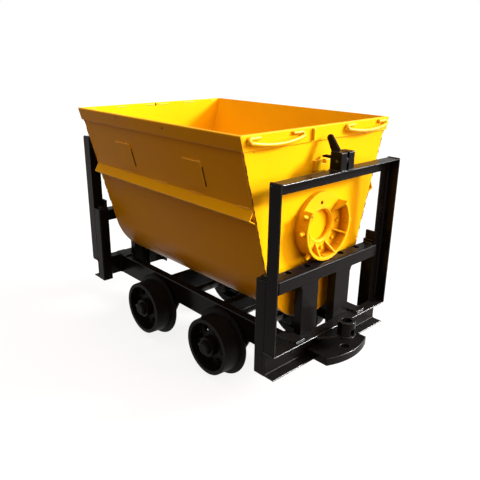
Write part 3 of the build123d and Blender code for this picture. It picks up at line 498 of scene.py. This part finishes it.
dressing = {  # finish, bevel in millimetres and slot of each node
    "end_walls": ("plate", 1.0, "bucket_yellow"),
    "rim_sides": ("plate", 1.0, "bucket_yellow"),
    "rim_ends": ("plate", 1.0, "bucket_yellow"),
    "band_ribs": ("plate", 0.8, "bucket_yellow"),
    "side_belts": ("plate", 1.2, "bucket_yellow"),
    "doublers": ("plate", 1.0, "bucket_yellow"),
    "drum_front": ("casting", 1.4, "cast_yellow"),
    "drum_rear": ("casting", 1.4, "cast_yellow"),
    "hub_rings": ("casting", 1.2, "cast_yellow"),
    "grab_handles": ("handle", 0.0, "bucket_yellow"),
    "latch_lugs": ("plate", 1.5, "bucket_yellow"),
    "sills": ("frame", 3.0, "frame_black"),
    "cross_members": ("frame", 3.0, "frame_black"),
    "bumper_front": ("frame", 3.0, "frame_black"),
    "bumper_rear": ("frame", 3.0, "frame_black"),
    "lap_plates": ("frame", 1.2, "frame_black"),
    "corner_posts": ("frame", 1.2, "frame_black"),
    "roll_beam_front": ("frame", 3.0, "frame_black"),
    "roll_beam_rear": ("frame", 3.0, "frame_black"),
    "beam_legs": ("frame", 2.4, "frame_black"),
    "roll_stops": ("lever", 1.2, "frame_black"),
    "portal_legs": ("frame", 2.4, "frame_black"),
    "portal_bars": ("frame", 2.4, "frame_black"),
    "coupler_plates": ("frame", 2.5, "frame_black"),
    "coupler_top_plates": ("frame", 1.2, "frame_black"),
    "coupler_bosses": ("frame", 2.5, "frame_black"),
    "coupler_ribs": ("frame", 1.2, "frame_black"),
    "pedestals": ("frame", 1.2, "frame_black"),
    "axle_boxes": ("frame", 2.5, "frame_black"),
    "latch_cheeks": ("frame", 1.8, "frame_black"),
    "latch_pins": ("steel", 1.0, "bare_steel"),
    "latch_lever_front": ("lever", 1.4, "frame_black"),
    "latch_lever_rear": ("lever", 1.4, "frame_black"),
    "wheels_front": ("iron", 2.0, "wheel_iron"),
    "wheels_rear": ("iron", 2.0, "wheel_iron"),
    "wheel_flanges_front": ("iron", 0.0, "wheel_iron"),
    "wheel_flanges_rear": ("iron", 0.0, "wheel_iron"),
    "axle_front": ("steel", 1.0, "bare_steel"),
    "axle_rear": ("steel", 1.0, "bare_steel"),
}
bodyOf = {node: body for body, nodes in frame["record"]["behaviour"]["bodies"].items() for node in nodes}


def camel(node):
    first, *rest = node.split("_")
    return first + "".join(word.capitalize() for word in rest)


for node, (look, bevel, slot) in dressing.items():
    shape = cleanShape(node)
    mesh = bpy.data.meshes.new(node)
    if node == "grab_handles":  # a thick coat of paint over the rods
        for vert in shape.verts:
            vert.co += vert.normal * 1.3 * mm
    shape.to_mesh(mesh)
    shape.free()
    piece = finishMesh(mesh, camel(node), bodyOf[node], look, bevel)
    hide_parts(node)


# the trough's sheet: the bottom and both side panels as one shell, with no seam where they meet
def makeShell():
    shape = bmesh.new()
    for node in ("trough_bottom", "side_panels"):
        shape.from_mesh(frame["nodes"][node].data)
    bmesh.ops.remove_doubles(shape, verts=shape.verts, dist=0.05 * mm)
    bmesh.ops.dissolve_limit(shape, angle_limit=math.radians(0.8), verts=shape.verts, edges=shape.edges)
    seen = {}
    for face in shape.faces:
        seen.setdefault(frozenset(face.verts), []).append(face)
    inner = [face for faces in seen.values() if len(faces) > 1 for face in faces]
    bmesh.ops.delete(shape, geom=inner, context="FACES")
    mesh = bpy.data.meshes.new("bucketShell")
    shape.to_mesh(mesh)
    shape.free()
    piece = finishMesh(mesh, "bucketShell", "bucket", "plate", 0.0)
    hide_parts("trough_bottom", "side_panels")


makeShell()
say("dressed nodes")


# Geometry Nodes: a weld bead laid along edges, then specks and bolts set on points
def shakenNoise(tree, **inputs):  # a noise texture, and its colour centred on zero
    shake = addNode(tree, "ShaderNodeTexNoise", inputs).outputs
    inputs = {0: shake["Color"], 1: (0.5, 0.5, 0.5)}
    return shake[0], addNode(tree, "ShaderNodeVectorMath", inputs, operation="SUBTRACT").outputs[0]


def closeTree(tree, out, geometry, material):  # real geometry in its finish, which every tree ends in
    solid = addNode(tree, "GeometryNodeRealizeInstances", {"Geometry": geometry}).outputs[0]
    inputs = {"Geometry": solid, "Material": material}
    feed(tree, out.inputs["Geometry"], addNode(tree, "GeometryNodeSetMaterial", inputs).outputs[0])


def buildWeldBead():
    inputs = [
        ("Geometry", "geometry", None),
        ("Radius", "float", 0.003),
        ("Step", "float", 0.002),
        ("Pitch", "float", 0.006),
        ("Ripple", "float", 0.3),
        ("Wander", "float", 0.0012),
        ("Seed", "int", 1),
        ("Material", "material", None),
    ]
    tree, given, out = newGroup("weldBead", "GeometryNodeTree", inputs, [("Geometry", "geometry")])
    path = addNode(tree, "GeometryNodeMeshToCurve", {"Mesh": given["Geometry"]}).outputs[0]
    inputs = {"Curve": path, "Length": given["Step"]}
    even = addNode(tree, "GeometryNodeResampleCurve", inputs, mode="LENGTH").outputs[0]
    place = addNode(tree, "GeometryNodeInputPosition").outputs[0]
    away = addNode(tree, "ShaderNodeCombineXYZ", {"X": given["Seed"]}).outputs[0]
    point = addNode(tree, "ShaderNodeVectorMath", {0: place, 1: away}, operation="ADD").outputs[0]
    shake, centred = shakenNoise(tree, Vector=point, Scale=55.0, Detail=1.0)
    inputs = {0: centred, "Scale": given["Wander"]}
    offset = addNode(tree, "ShaderNodeVectorMath", inputs, operation="SCALE").outputs[0]
    moved = addNode(tree, "GeometryNodeSetPosition", {"Geometry": even, "Offset": offset}).outputs[0]
    along = addNode(tree, "GeometryNodeSplineParameter").outputs["Length"]
    beat = calc(tree, "FRACT", calc(tree, "DIVIDE", along, given["Pitch"]))
    wave = calc(tree, "MULTIPLY", calc(tree, "SUBTRACT", beat, 0.5), given["Ripple"])
    width = calc(tree, "ADD", calc(tree, "ADD", wave, 0.75), calc(tree, "MULTIPLY", shake, 0.5))
    inputs = {"Resolution": 5, "Radius": given["Radius"]}
    profile = addNode(tree, "GeometryNodeCurvePrimitiveCircle", inputs).outputs[0]
    inputs = {"Curve": moved, "Profile Curve": profile, "Scale": width, "Fill Caps": True}
    bead = addNode(tree, "GeometryNodeCurveToMesh", inputs).outputs[0]
    smooth = addNode(tree, "GeometryNodeSetShadeSmooth", {"Geometry": bead}).outputs[0]
    closeTree(tree, out, smooth, given["Material"])
    return tree


weldBead = buildWeldBead()


def growPiece(name, body, slot, source, group, **inputs):
    grower = bpy.data.objects.new(name + "Source", source)
    bpy.context.scene.collection.objects.link(grower)
    modifier = grower.modifiers.new(name, "NODES")
    modifier.node_group = group
    for item in group.interface.items_tree:
        if item.in_out == "INPUT" and item.name in inputs:
            modifier[item.identifier] = inputs[item.name]
    mesh = bpy.data.meshes.new_from_object(grower.evaluated_get(bpy.context.evaluated_depsgraph_get()))
    bpy.data.objects.remove(grower)
    bpy.data.meshes.remove(source)
    mesh.name = name
    piece = bpy.data.objects.new(name, mesh)
    bpy.context.scene.collection.objects.link(piece)
    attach(piece, body)
    print("  ", name, sum(len(face.vertices) - 2 for face in mesh.polygons), "triangles")
    return piece


# runs of the first node's edges that lie on the second's surface; reach and spacing in millimetres
def contactSeams(first, second, reach=0.6, spacing=9):
    shape = cleanShape(first)
    target = cleanShape(second)
    other = BVHTree.FromBMesh(target)
    seams = []
    for edge in shape.edges:
        start, end = (vert.co.copy() for vert in edge.verts)
        count = max(2, int((end - start).length / (spacing * mm)) + 1)
        points = [start.lerp(end, step / count) for step in range(count + 1)]
        touching = [other.find_nearest(point, reach * mm)[0] is not None for point in points]
        opened = None
        for step, near in enumerate(touching + [False]):
            if near and opened is None:
                opened = step
            elif not near and opened is not None:
                if step - opened > 1:
                    seams.append((points[opened], points[step - 1]))
                opened = None
    shape.free()
    target.free()
    return seams


def seamMesh(name, seams):
    mesh = bpy.data.meshes.new(name)
    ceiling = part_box("rim_sides")[1].z - 4 * mm  # beads stay under the rim's top
    points = [Vector((point.x, point.y, min(point.z, ceiling))) for seam in seams for point in seam]
    mesh.from_pydata(points, [(2 * index, 2 * index + 1) for index in range(len(seams))], [])
    shape = bmesh.new()
    shape.from_mesh(mesh)
    bmesh.ops.remove_doubles(shape, verts=shape.verts, dist=0.5 * mm)
    shape.to_mesh(mesh)
    shape.free()
    return mesh


frameJoints = [  # each pair: the node whose edges are followed, and the node that they lie on
    ("beam_legs", "bumper_front"), ("beam_legs", "bumper_rear"),
    ("beam_legs", "roll_beam_front"), ("beam_legs", "roll_beam_rear"),
    ("beam_legs", "lap_plates"), ("beam_legs", "cross_members"), ("beam_legs", "sills"),
    ("corner_posts", "bumper_front"), ("corner_posts", "bumper_rear"),
    ("roll_beam_front", "corner_posts"), ("roll_beam_rear", "corner_posts"),
    ("portal_legs", "corner_posts"), ("portal_legs", "bumper_front"), ("portal_legs", "bumper_rear"),
    ("portal_bars", "portal_legs"), ("latch_cheeks", "portal_bars"),
    ("roll_stops", "roll_beam_front"), ("roll_stops", "roll_beam_rear"), ("roll_stops", "corner_posts"),
    ("lap_plates", "sills"), ("lap_plates", "bumper_front"), ("lap_plates", "bumper_rear"),
    ("lap_plates", "cross_members"),
    ("coupler_plates", "bumper_front"), ("coupler_plates", "bumper_rear"),
    ("coupler_top_plates", "bumper_front"), ("coupler_top_plates", "bumper_rear"),
    ("coupler_bosses", "coupler_top_plates"), ("coupler_ribs", "coupler_top_plates"),
    ("coupler_ribs", "bumper_front"), ("coupler_ribs", "coupler_bosses"),
    ("pedestals", "sills"), ("pedestals", "cross_members"), ("axle_boxes", "pedestals"),
    ("sills", "bumper_front"), ("sills", "bumper_rear"), ("cross_members", "sills"),
]
bucketJoints = [
    ("doublers", "side_panels"), ("latch_lugs", "end_walls"), ("band_ribs", "rim_ends"),
    ("side_panels", "end_walls"), ("trough_bottom", "end_walls"), ("rim_sides", "rim_ends"),
    ("side_belts", "end_walls"),
]
welding = {  # radii in metres, lengths and places in millimetres
    "frameRadius": 0.0036,
    "bucketRadius": 0.0016,
    "tackRadius": 0.003,
    "beltRadius": 0.0044,
    "beltStitches": [(-336, -263), (-56, 36), (207, 298), (528, 592)],  # from and to along X
    "innerStitches": [(-420, -395), (-272, -209), (-76, -20), (8, 78), (197, 274), (405, 440)],  # along Y
    "innerPlace": (-606.5, 1243),  # X and Z of the stitches inside the rear end wall
    "doublerStitches": [(-334, -321), (-248, -234), (316, 331)],  # along X
    "doublerTop": 1110.5,
    "beltStitch": (60, 290),  # length and pitch
    "bandStitch": (45, 240),
    "seed": 4,
}
panelLow, panelHigh = (corner * 1000 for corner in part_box("side_panels"))


def onPanel(x, z, side):  # a point on a side panel's outer face, from millimetres; side is 1 for +Y
    lowHalf = 306.0  # half width at the panel's foot
    half = panelHigh.y - (panelHigh.z - z) * (panelHigh.y - lowHalf) / (panelHigh.z - panelLow.z)
    return Vector((x, side * half, z)) * mm


def bothWays(seams):  # adds copies turned half round for the cart's other end and side
    turn = Matrix.Rotation(math.pi, 4, "Z")
    return seams + [(turn @ first, turn @ second) for first, second in seams]


def joined(pairs):
    return [seam for pair in pairs for seam in contactSeams(*pair)]


def stitched(seams, stitch, start=0.0):  # cuts long seams into stitches of one length and pitch
    length, pitch = (size * mm for size in stitch)
    cut = []
    for index, (first, second) in enumerate(seams):
        along = (second - first).normalized()
        place = pitch * (start + 0.31 * index % 1.0)  # so that stitches on different seams don't line up
        while place + length < (second - first).length:
            cut.append((first + along * place, first + along * (place + length)))
            place += pitch
    return cut


def level(seams, height):  # only the level seams at one height
    kept = []
    for first, second in seams:
        middle = (first.z + second.z) / 2
        if abs(middle - height) < 2.5 * mm and abs(first.z - second.z) < mm:
            kept.append((first, second))
    return kept


def makeWelds():
    bead = {"Step": 0.002, "Pitch": 0.0062, "Seed": welding["seed"]}
    source = seamMesh("frameSeams", joined(frameJoints))
    black = {"Radius": welding["frameRadius"], "Material": finish["bead"]}
    growPiece("frameWelds", "frame", "frame_black", source, weldBead, **bead, **black)
    yellow = {"Radius": welding["bucketRadius"], "Ripple": 0.35, "Material": finish["seam"]}
    source = seamMesh("bucketSeams", joined(bucketJoints))
    growPiece("bucketWelds", "bucket", "bucket_yellow", source, weldBead, **bead, **yellow)
    beltLow, beltHigh = (corner.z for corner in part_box("side_belts"))
    belts = contactSeams("side_belts", "side_panels")
    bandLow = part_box("rim_sides")[0].z
    bands = contactSeams("rim_sides", "side_panels") + contactSeams("rim_ends", "end_walls")
    tacks = stitched(level(belts, beltLow), welding["beltStitch"], 0.4)
    tacks += stitched(level(bands, bandLow), welding["bandStitch"], 0.2)
    tacks += contactSeams("grab_handles", "rim_ends", reach=0.03)
    yellow["Radius"] = welding["tackRadius"]
    source = seamMesh("tackSeams", tacks)
    growPiece("bucketTacks", "bucket", "bucket_yellow", source, weldBead, **bead, **yellow)
    wallX, wallZ = welding["innerPlace"]
    inner = [[Vector((wallX, end, wallZ)) * mm for end in run] for run in welding["innerStitches"]]
    corners = [[onPanel(end, welding["doublerTop"], -1) for end in run] for run in welding["doublerStitches"]]
    # these tacks take the tack finish and its painted highlight
    yellow["Material"] = finish["tack"]
    source = seamMesh("brightSeams", bothWays(inner + corners))
    growPiece("brightTacks", "bucket", "bucket_yellow", source, weldBead, **bead, **yellow)
    edge = [[onPanel(end, beltHigh * 1000, -1) for end in run] for run in welding["beltStitches"]]
    yellow.update(Material=finish["seam"], Radius=welding["beltRadius"])
    source = seamMesh("beltSeams", bothWays(edge))
    growPiece("beltTacks", "bucket", "bucket_yellow", source, weldBead, **bead, **yellow)


makeWelds()
say("welds")


# small marks: chipped edges, painted shadow under the rim band's ends, painted shade in the doublers' edge gaps,
# specks and fasteners
marks = {  # radii in metres, lengths and places in millimetres
    "chipRadius": 0.0018,
    "gapRadius": 0.0032,
    "wallChips": {"dash": (8, 46), "space": (4, 36), "seed": 3},  # shortest and longest
    # long, nearly unbroken dark dashes: painted shadow under the rim band on the end walls
    "bandShadowLine": {"dash": (40, 160), "space": (4, 30), "seed": 5},
    "rimChips": {"dash": (5, 16), "space": (8, 60), "seed": 9},
    "rimChipsAbove": 860,
    "gapPlaces": (-207.5, 336.5),  # X of the doublers' right edges, where a dark strip is painted shade in the unwelded gap
    "gapHeights": (1088, 999),
    "seed": 11,
}


def broken(seams, dash, space, seed):  # cuts seams into dashes of random length
    chance = random.Random(seed)
    cut = []
    for first, second in seams:
        whole = (second - first).length
        along = (second - first).normalized()
        place = chance.uniform(*space) * mm * 0.5
        while place < whole:
            end = min(whole, place + chance.uniform(*dash) * mm)
            cut.append((first + along * place, first + along * end))
            place = end + chance.uniform(*space) * mm
    return cut


def nodeEdges(node, wanted):
    shape = cleanShape(node)
    edges = [tuple(vert.co.copy() for vert in edge.verts) for edge in shape.edges]
    shape.free()
    return [edge for edge in edges if wanted(*edge)]


def makeMarks():
    chip = {"Step": 0.004, "Pitch": 0.011, "Ripple": 0.5, "Wander": 0.0012, "Seed": marks["seed"]}
    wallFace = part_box("end_walls")[1].x

    def atCorner(first, second):
        tall = abs(first.z - second.z) > 0.1
        return tall and min(abs(first.x), abs(second.x)) > wallFace - mm

    edges = broken(nodeEdges("end_walls", atCorner), **marks["wallChips"])
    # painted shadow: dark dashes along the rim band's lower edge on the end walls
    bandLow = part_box("rim_sides")[0].z
    ends = level(contactSeams("rim_ends", "end_walls"), bandLow)
    edges += broken([seam for seam in ends if abs(seam[0].x) > wallFace - mm], **marks["bandShadowLine"])
    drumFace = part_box("drum_front")[1].x

    def atRim(first, second):
        middle = (first + second) / 2
        upper = middle.z > marks["rimChipsAbove"] * mm
        return upper and abs(middle.x - drumFace) < mm and (first - second).length > 4 * mm

    edges += broken(nodeEdges("drum_front", atRim), **marks["rimChips"])
    look = {"Radius": marks["chipRadius"], "Material": finish["chip"]}
    source = seamMesh("chipAndShadowSeams", edges)
    growPiece("chippedEdges", "bucket", "bucket_yellow", source, weldBead, **chip, **look)
    # painted shade: a dark strip along each doubler's right edge, in the unwelded gap
    gaps = bothWays([[onPanel(x, z, -1) for z in marks["gapHeights"]] for x in marks["gapPlaces"]])
    look["Radius"] = marks["gapRadius"]
    growPiece("doublerGapShade", "bucket", "bucket_yellow", seamMesh("gapShadeSeams", gaps), weldBead, **chip, **look)


makeMarks()


def storedPoint(tree):  # the turn and the size that pointMesh gives each point
    kind = "GeometryNodeInputNamedAttribute"
    axis = addNode(tree, kind, {"Name": "axis"}, data_type="FLOAT_VECTOR").outputs[0]
    size = addNode(tree, kind, {"Name": "size"}, data_type="FLOAT").outputs[0]
    return addNode(tree, "FunctionNodeAlignRotationToVector", {"Vector": axis}).outputs[0], size


def buildScatter():
    inputs = [("Geometry", "geometry", None), ("Thickness", "float", 0.12), ("Material", "material", None)]
    tree, given, out = newGroup("scatterSpecks", "GeometryNodeTree", inputs, [("Geometry", "geometry")])
    blob = addNode(tree, "GeometryNodeMeshIcoSphere", {"Radius": 1.0, "Subdivisions": 2}).outputs[0]
    centred = shakenNoise(tree, Scale=1.1, Detail=1.0)[1]
    uneven = addNode(tree, "GeometryNodeSetPosition", {"Geometry": blob, "Offset": centred}).outputs[0]
    turned, size = storedPoint(tree)
    width = calc(tree, "MULTIPLY", size, 0.7)
    depth = calc(tree, "MULTIPLY", size, given["Thickness"])
    scale = addNode(tree, "ShaderNodeCombineXYZ", {"X": size, "Y": width, "Z": depth}).outputs[0]
    inputs = {"Points": given["Geometry"], "Instance": uneven, "Rotation": turned, "Scale": scale}
    placed = addNode(tree, "GeometryNodeInstanceOnPoints", inputs).outputs[0]
    smooth = addNode(tree, "GeometryNodeSetShadeSmooth", {"Geometry": placed}).outputs[0]
    closeTree(tree, out, smooth, given["Material"])
    return tree


def boltStage(tree, corners, low, high, depth, lift):  # one cone of a bolt, in shares of its size
    inputs = {"Vertices": corners, "Radius Bottom": low, "Radius Top": high, "Depth": depth}
    cone = addNode(tree, "GeometryNodeMeshCone", inputs).outputs[0]
    inputs = {"Geometry": cone, "Translation": (0, 0, lift)}
    return addNode(tree, "GeometryNodeTransform", inputs).outputs[0]


def buildBolts():
    inputs = [("Geometry", "geometry", None), ("Corners", "int", 6), ("Material", "material", None)]
    tree, given, out = newGroup("setBolts", "GeometryNodeTree", inputs, [("Geometry", "geometry")])
    washer = boltStage(tree, 20, low=1.35, high=1.25, depth=0.22, lift=0.0)
    head = boltStage(tree, given["Corners"], low=1.0, high=1.0, depth=0.62, lift=0.22)
    crown = boltStage(tree, given["Corners"], low=1.0, high=0.72, depth=0.16, lift=0.84)
    whole = addNode(tree, "GeometryNodeJoinGeometry")
    for part in (crown, head, washer):
        tree.links.new(part, whole.inputs[0])
    turned, size = storedPoint(tree)
    scale = addNode(tree, "ShaderNodeCombineXYZ", {"X": size, "Y": size, "Z": size}).outputs[0]
    inputs = {"Points": given["Geometry"], "Instance": whole.outputs[0], "Rotation": turned, "Scale": scale}
    placed = addNode(tree, "GeometryNodeInstanceOnPoints", inputs).outputs[0]
    closeTree(tree, out, placed, given["Material"])
    return tree


scatterSpecks = buildScatter()
setBolts = buildBolts()


def pointMesh(name, rows):  # rows of place, outward axis and size, in millimetres
    mesh = bpy.data.meshes.new(name)
    mesh.from_pydata([Vector(place) * mm for place, axis, size in rows], [], [])
    axes = mesh.attributes.new("axis", "FLOAT_VECTOR", "POINT")
    outward = [part for place, axis, size in rows for part in Vector(axis).normalized()]
    axes.data.foreach_set("vector", outward)
    sizes = mesh.attributes.new("size", "FLOAT", "POINT")
    sizes.data.foreach_set("value", [size * mm for place, axis, size in rows])
    return mesh


panelAxis = (0, -0.97, -0.26)  # outwards from the side panel on the photographed side
darkSpecks = [  # place, axis, size
    ((-258, -487.4, 1240), panelAxis, 5.0),
    ((-236, -486.8, 1237), panelAxis, 3.5),
    ((123, -484.3, 1228), panelAxis, 6.0),
    ((-607, -9, 1243), (1, 0, 0), 9.0),
    ((615, -410, 1184), (1, 0, 0), 3.5),
    ((615, -404, 1150), (1, 0, 0), 2.0),
    ((688, -126, 888), (1, 0, 0), 4.0),
    ((688, -121, 880), (1, 0, 0), 3.5),
    ((688, -128, 871), (1, 0, 0), 3.0),
    ((688, -135, 862), (1, 0, 0), 2.6),
]
# these specks take the tack finish, whose lighter yellow is a painted highlight
lightSpecks = [((-191.6, -457.2, 1158.6), panelAxis, 4.0), ((620, -330, 1150), (1, 0, 0), 2.5)]
rustSpecks = [
    ((707, -405, 1071), (0, -1, 0), 4.5),
    ((704, 353, 347), (0, 0, 1), 4.0),
    ((712, 392, 347), (0, 0, 1), 5.0),
    ((758, -122, 276), (0, 0, 1), 4.0),
]
fasteners = {  # millimetres
    "webBolt": (704, 231, 286),  # place on the bumper's web, repeated on both sides and both ends
    "hubPlug": (24, 396.5, 17),  # back from the axle, out to just inside the hub's face, and up
    "size": 5.0,
    "speckThickness": 0.12,  # in shares of a speck's size
}


def makeSpecks():
    for name, body, slot, rows, look in (
        ("paintSpecks", "bucket", "bucket_yellow", darkSpecks, "chip"),
        ("lightSpecks", "bucket", "bucket_yellow", lightSpecks, "tack"),
        ("rustSpecks", "frame", "frame_black", rustSpecks, "fastener"),
    ):
        flat = {"Thickness": fasteners["speckThickness"], "Material": finish[look]}
        growPiece(name, body, slot, pointMesh(name + "Points", rows), scatterSpecks, **flat)


def makeFasteners():
    steel = {"Material": finish["fastener"]}
    size = fasteners["size"]
    x, y, z = fasteners["webBolt"]
    bolts = [((end * x, side * y, z), (end, 0, 0), size) for end in (1, -1) for side in (-1, 1)]
    growPiece("webBolts", "frame", "bare_steel", pointMesh("boltPoints", bolts), setBolts, **steel)
    back, out, up = fasteners["hubPlug"]
    places = {joint["name"]: joint.get("pos_m") for joint in frame["joints"]}
    for end in ("front", "rear"):
        x, y, z = (part / mm for part in places["wheelset_" + end + "_roll"])
        plugs = [((x - back, y + side * out, z + up), (0, side, 0), size) for side in (-1, 1)]
        source = pointMesh("plugPoints", plugs)
        growPiece("hubPlugs" + end.capitalize(), "wheelset_" + end, "bare_steel", source, setBolts, **steel)


makeSpecks()
makeFasteners()
say("marks and fasteners")


# light: a low key lamp from the front and the far side, and a sky that is brighter overhead
studio = {
    "keyFrom": (1.0, 1.18, 0.68),
    "keyStrength": 5.15,
    "keySpread": 12.0,  # degrees
    "horizon": 0.33,
    "openSide": (0.9, 0.4, 0.17),  # the sky is brighter on this side
    "openFill": 7.5,
    "overhead": 2.1,
    "fill": (1.0, 0.45, 0.14, 1),  # warm tint of the low sky and of the floor's bounce
    "floorBounce": 0.02,
    "ceiling": 0.35,  # what shiny faces mirror overhead
    "floorGlow": 0.86,
    "floorShade": 0.15,
}


def makeLight():
    data = bpy.data.lights.new("keyLamp", "SUN")
    data.energy = studio["keyStrength"]
    data.angle = math.radians(studio["keySpread"])
    lamp = bpy.data.objects.new("keyLamp", data)
    lamp.rotation_euler = Vector(studio["keyFrom"]).to_track_quat("Z", "Y").to_euler()
    bpy.context.scene.collection.objects.link(lamp)


def seenDirectly(tree):
    path = addNode(tree, "ShaderNodeLightPath").outputs
    either = calc(tree, "MAXIMUM", path["Is Camera Ray"], path["Is Glossy Ray"])
    return calc(tree, "MAXIMUM", either, path["Is Transmission Ray"])


def makeWorld():
    world = bpy.data.worlds.new("studioSky")
    bpy.context.scene.world = world
    world.use_nodes = True
    tree = world.node_tree
    look = addNode(tree, "ShaderNodeTexCoord").outputs["Generated"]
    height = calc(tree, "MAXIMUM", addNode(tree, "ShaderNodeSeparateXYZ", {"Vector": look}).outputs["Z"], 0.0)
    above = calc(tree, "POWER", height, 4.0)
    sky = ramp(tree, above, 0.0, 1.0, studio["horizon"], studio["overhead"])
    facing = addNode(tree, "ShaderNodeVectorMath", {0: look, 1: studio["openSide"]}, operation="DOT_PRODUCT")
    beside = calc(tree, "POWER", ramp(tree, facing.outputs["Value"], 0.0, 1.0), 8.0)
    sky = calc(tree, "ADD", sky, calc(tree, "MULTIPLY", beside, studio["openFill"]))
    clear = calc(tree, "MAXIMUM", ramp(tree, height, 0.35, 0.95), calc(tree, "MULTIPLY", beside, 0.7))
    skyColour = blendColours(tree, clear, studio["fill"], (1, 1, 1, 1))
    direct = addNode(tree, "ShaderNodeLightPath").outputs["Is Camera Ray"]
    backdrop = calc(tree, "MAXIMUM", ramp(tree, height, 0.1, 0.36, 1.0, studio["ceiling"]), direct)
    seen = seenDirectly(tree)
    strength = addNode(tree, "ShaderNodeMix", data_type="FLOAT")
    sockets = (strength.inputs[0], strength.inputs[2], strength.inputs[3])
    for socket, value in zip(sockets, (seen, sky, backdrop)):
        feed(tree, socket, value)
    background = tree.nodes["Background"]
    feed(tree, background.inputs["Color"], blendColours(tree, seen, skyColour, (1, 1, 1, 1)))
    feed(tree, background.inputs["Strength"], strength.outputs[0])


def makeFloor():
    half = 30  # metres
    mesh = bpy.data.meshes.new("studioFloor")
    corners = [(-half, -half, 0), (half, -half, 0), (half, half, 0), (-half, half, 0)]
    mesh.from_pydata(corners, [], [(0, 1, 2, 3)])
    floor = bpy.data.objects.new("studioFloor", mesh)
    bpy.context.scene.collection.objects.link(floor)
    made = bpy.data.materials.new("paleFloor")
    made.use_nodes = True
    tree = made.node_tree
    tree.nodes.remove(tree.nodes["Principled BSDF"])
    bounce = addNode(tree, "ShaderNodeBsdfDiffuse")
    bounce.inputs["Color"].default_value = [part * studio["floorBounce"] for part in studio["fill"][:3]] + [1]
    shade = addNode(tree, "ShaderNodeBsdfDiffuse")
    shade.inputs["Color"].default_value = (*[studio["floorShade"]] * 3, 1)
    glow = addNode(tree, "ShaderNodeEmission")
    glow.inputs["Strength"].default_value = studio["floorGlow"]
    pale = addNode(tree, "ShaderNodeAddShader")
    feed(tree, pale.inputs[0], shade.outputs[0])
    feed(tree, pale.inputs[1], glow.outputs[0])
    both = addNode(tree, "ShaderNodeMixShader")
    for socket, value in zip(both.inputs, (seenDirectly(tree), bounce.outputs[0], pale.outputs[0])):
        feed(tree, socket, value)
    feed(tree, tree.nodes["Material Output"].inputs["Surface"], both.outputs[0])
    mesh.materials.append(made)


makeLight()
makeWorld()
makeFloor()
bpy.context.scene.view_settings.view_transform = "Standard"
say("light and floor")
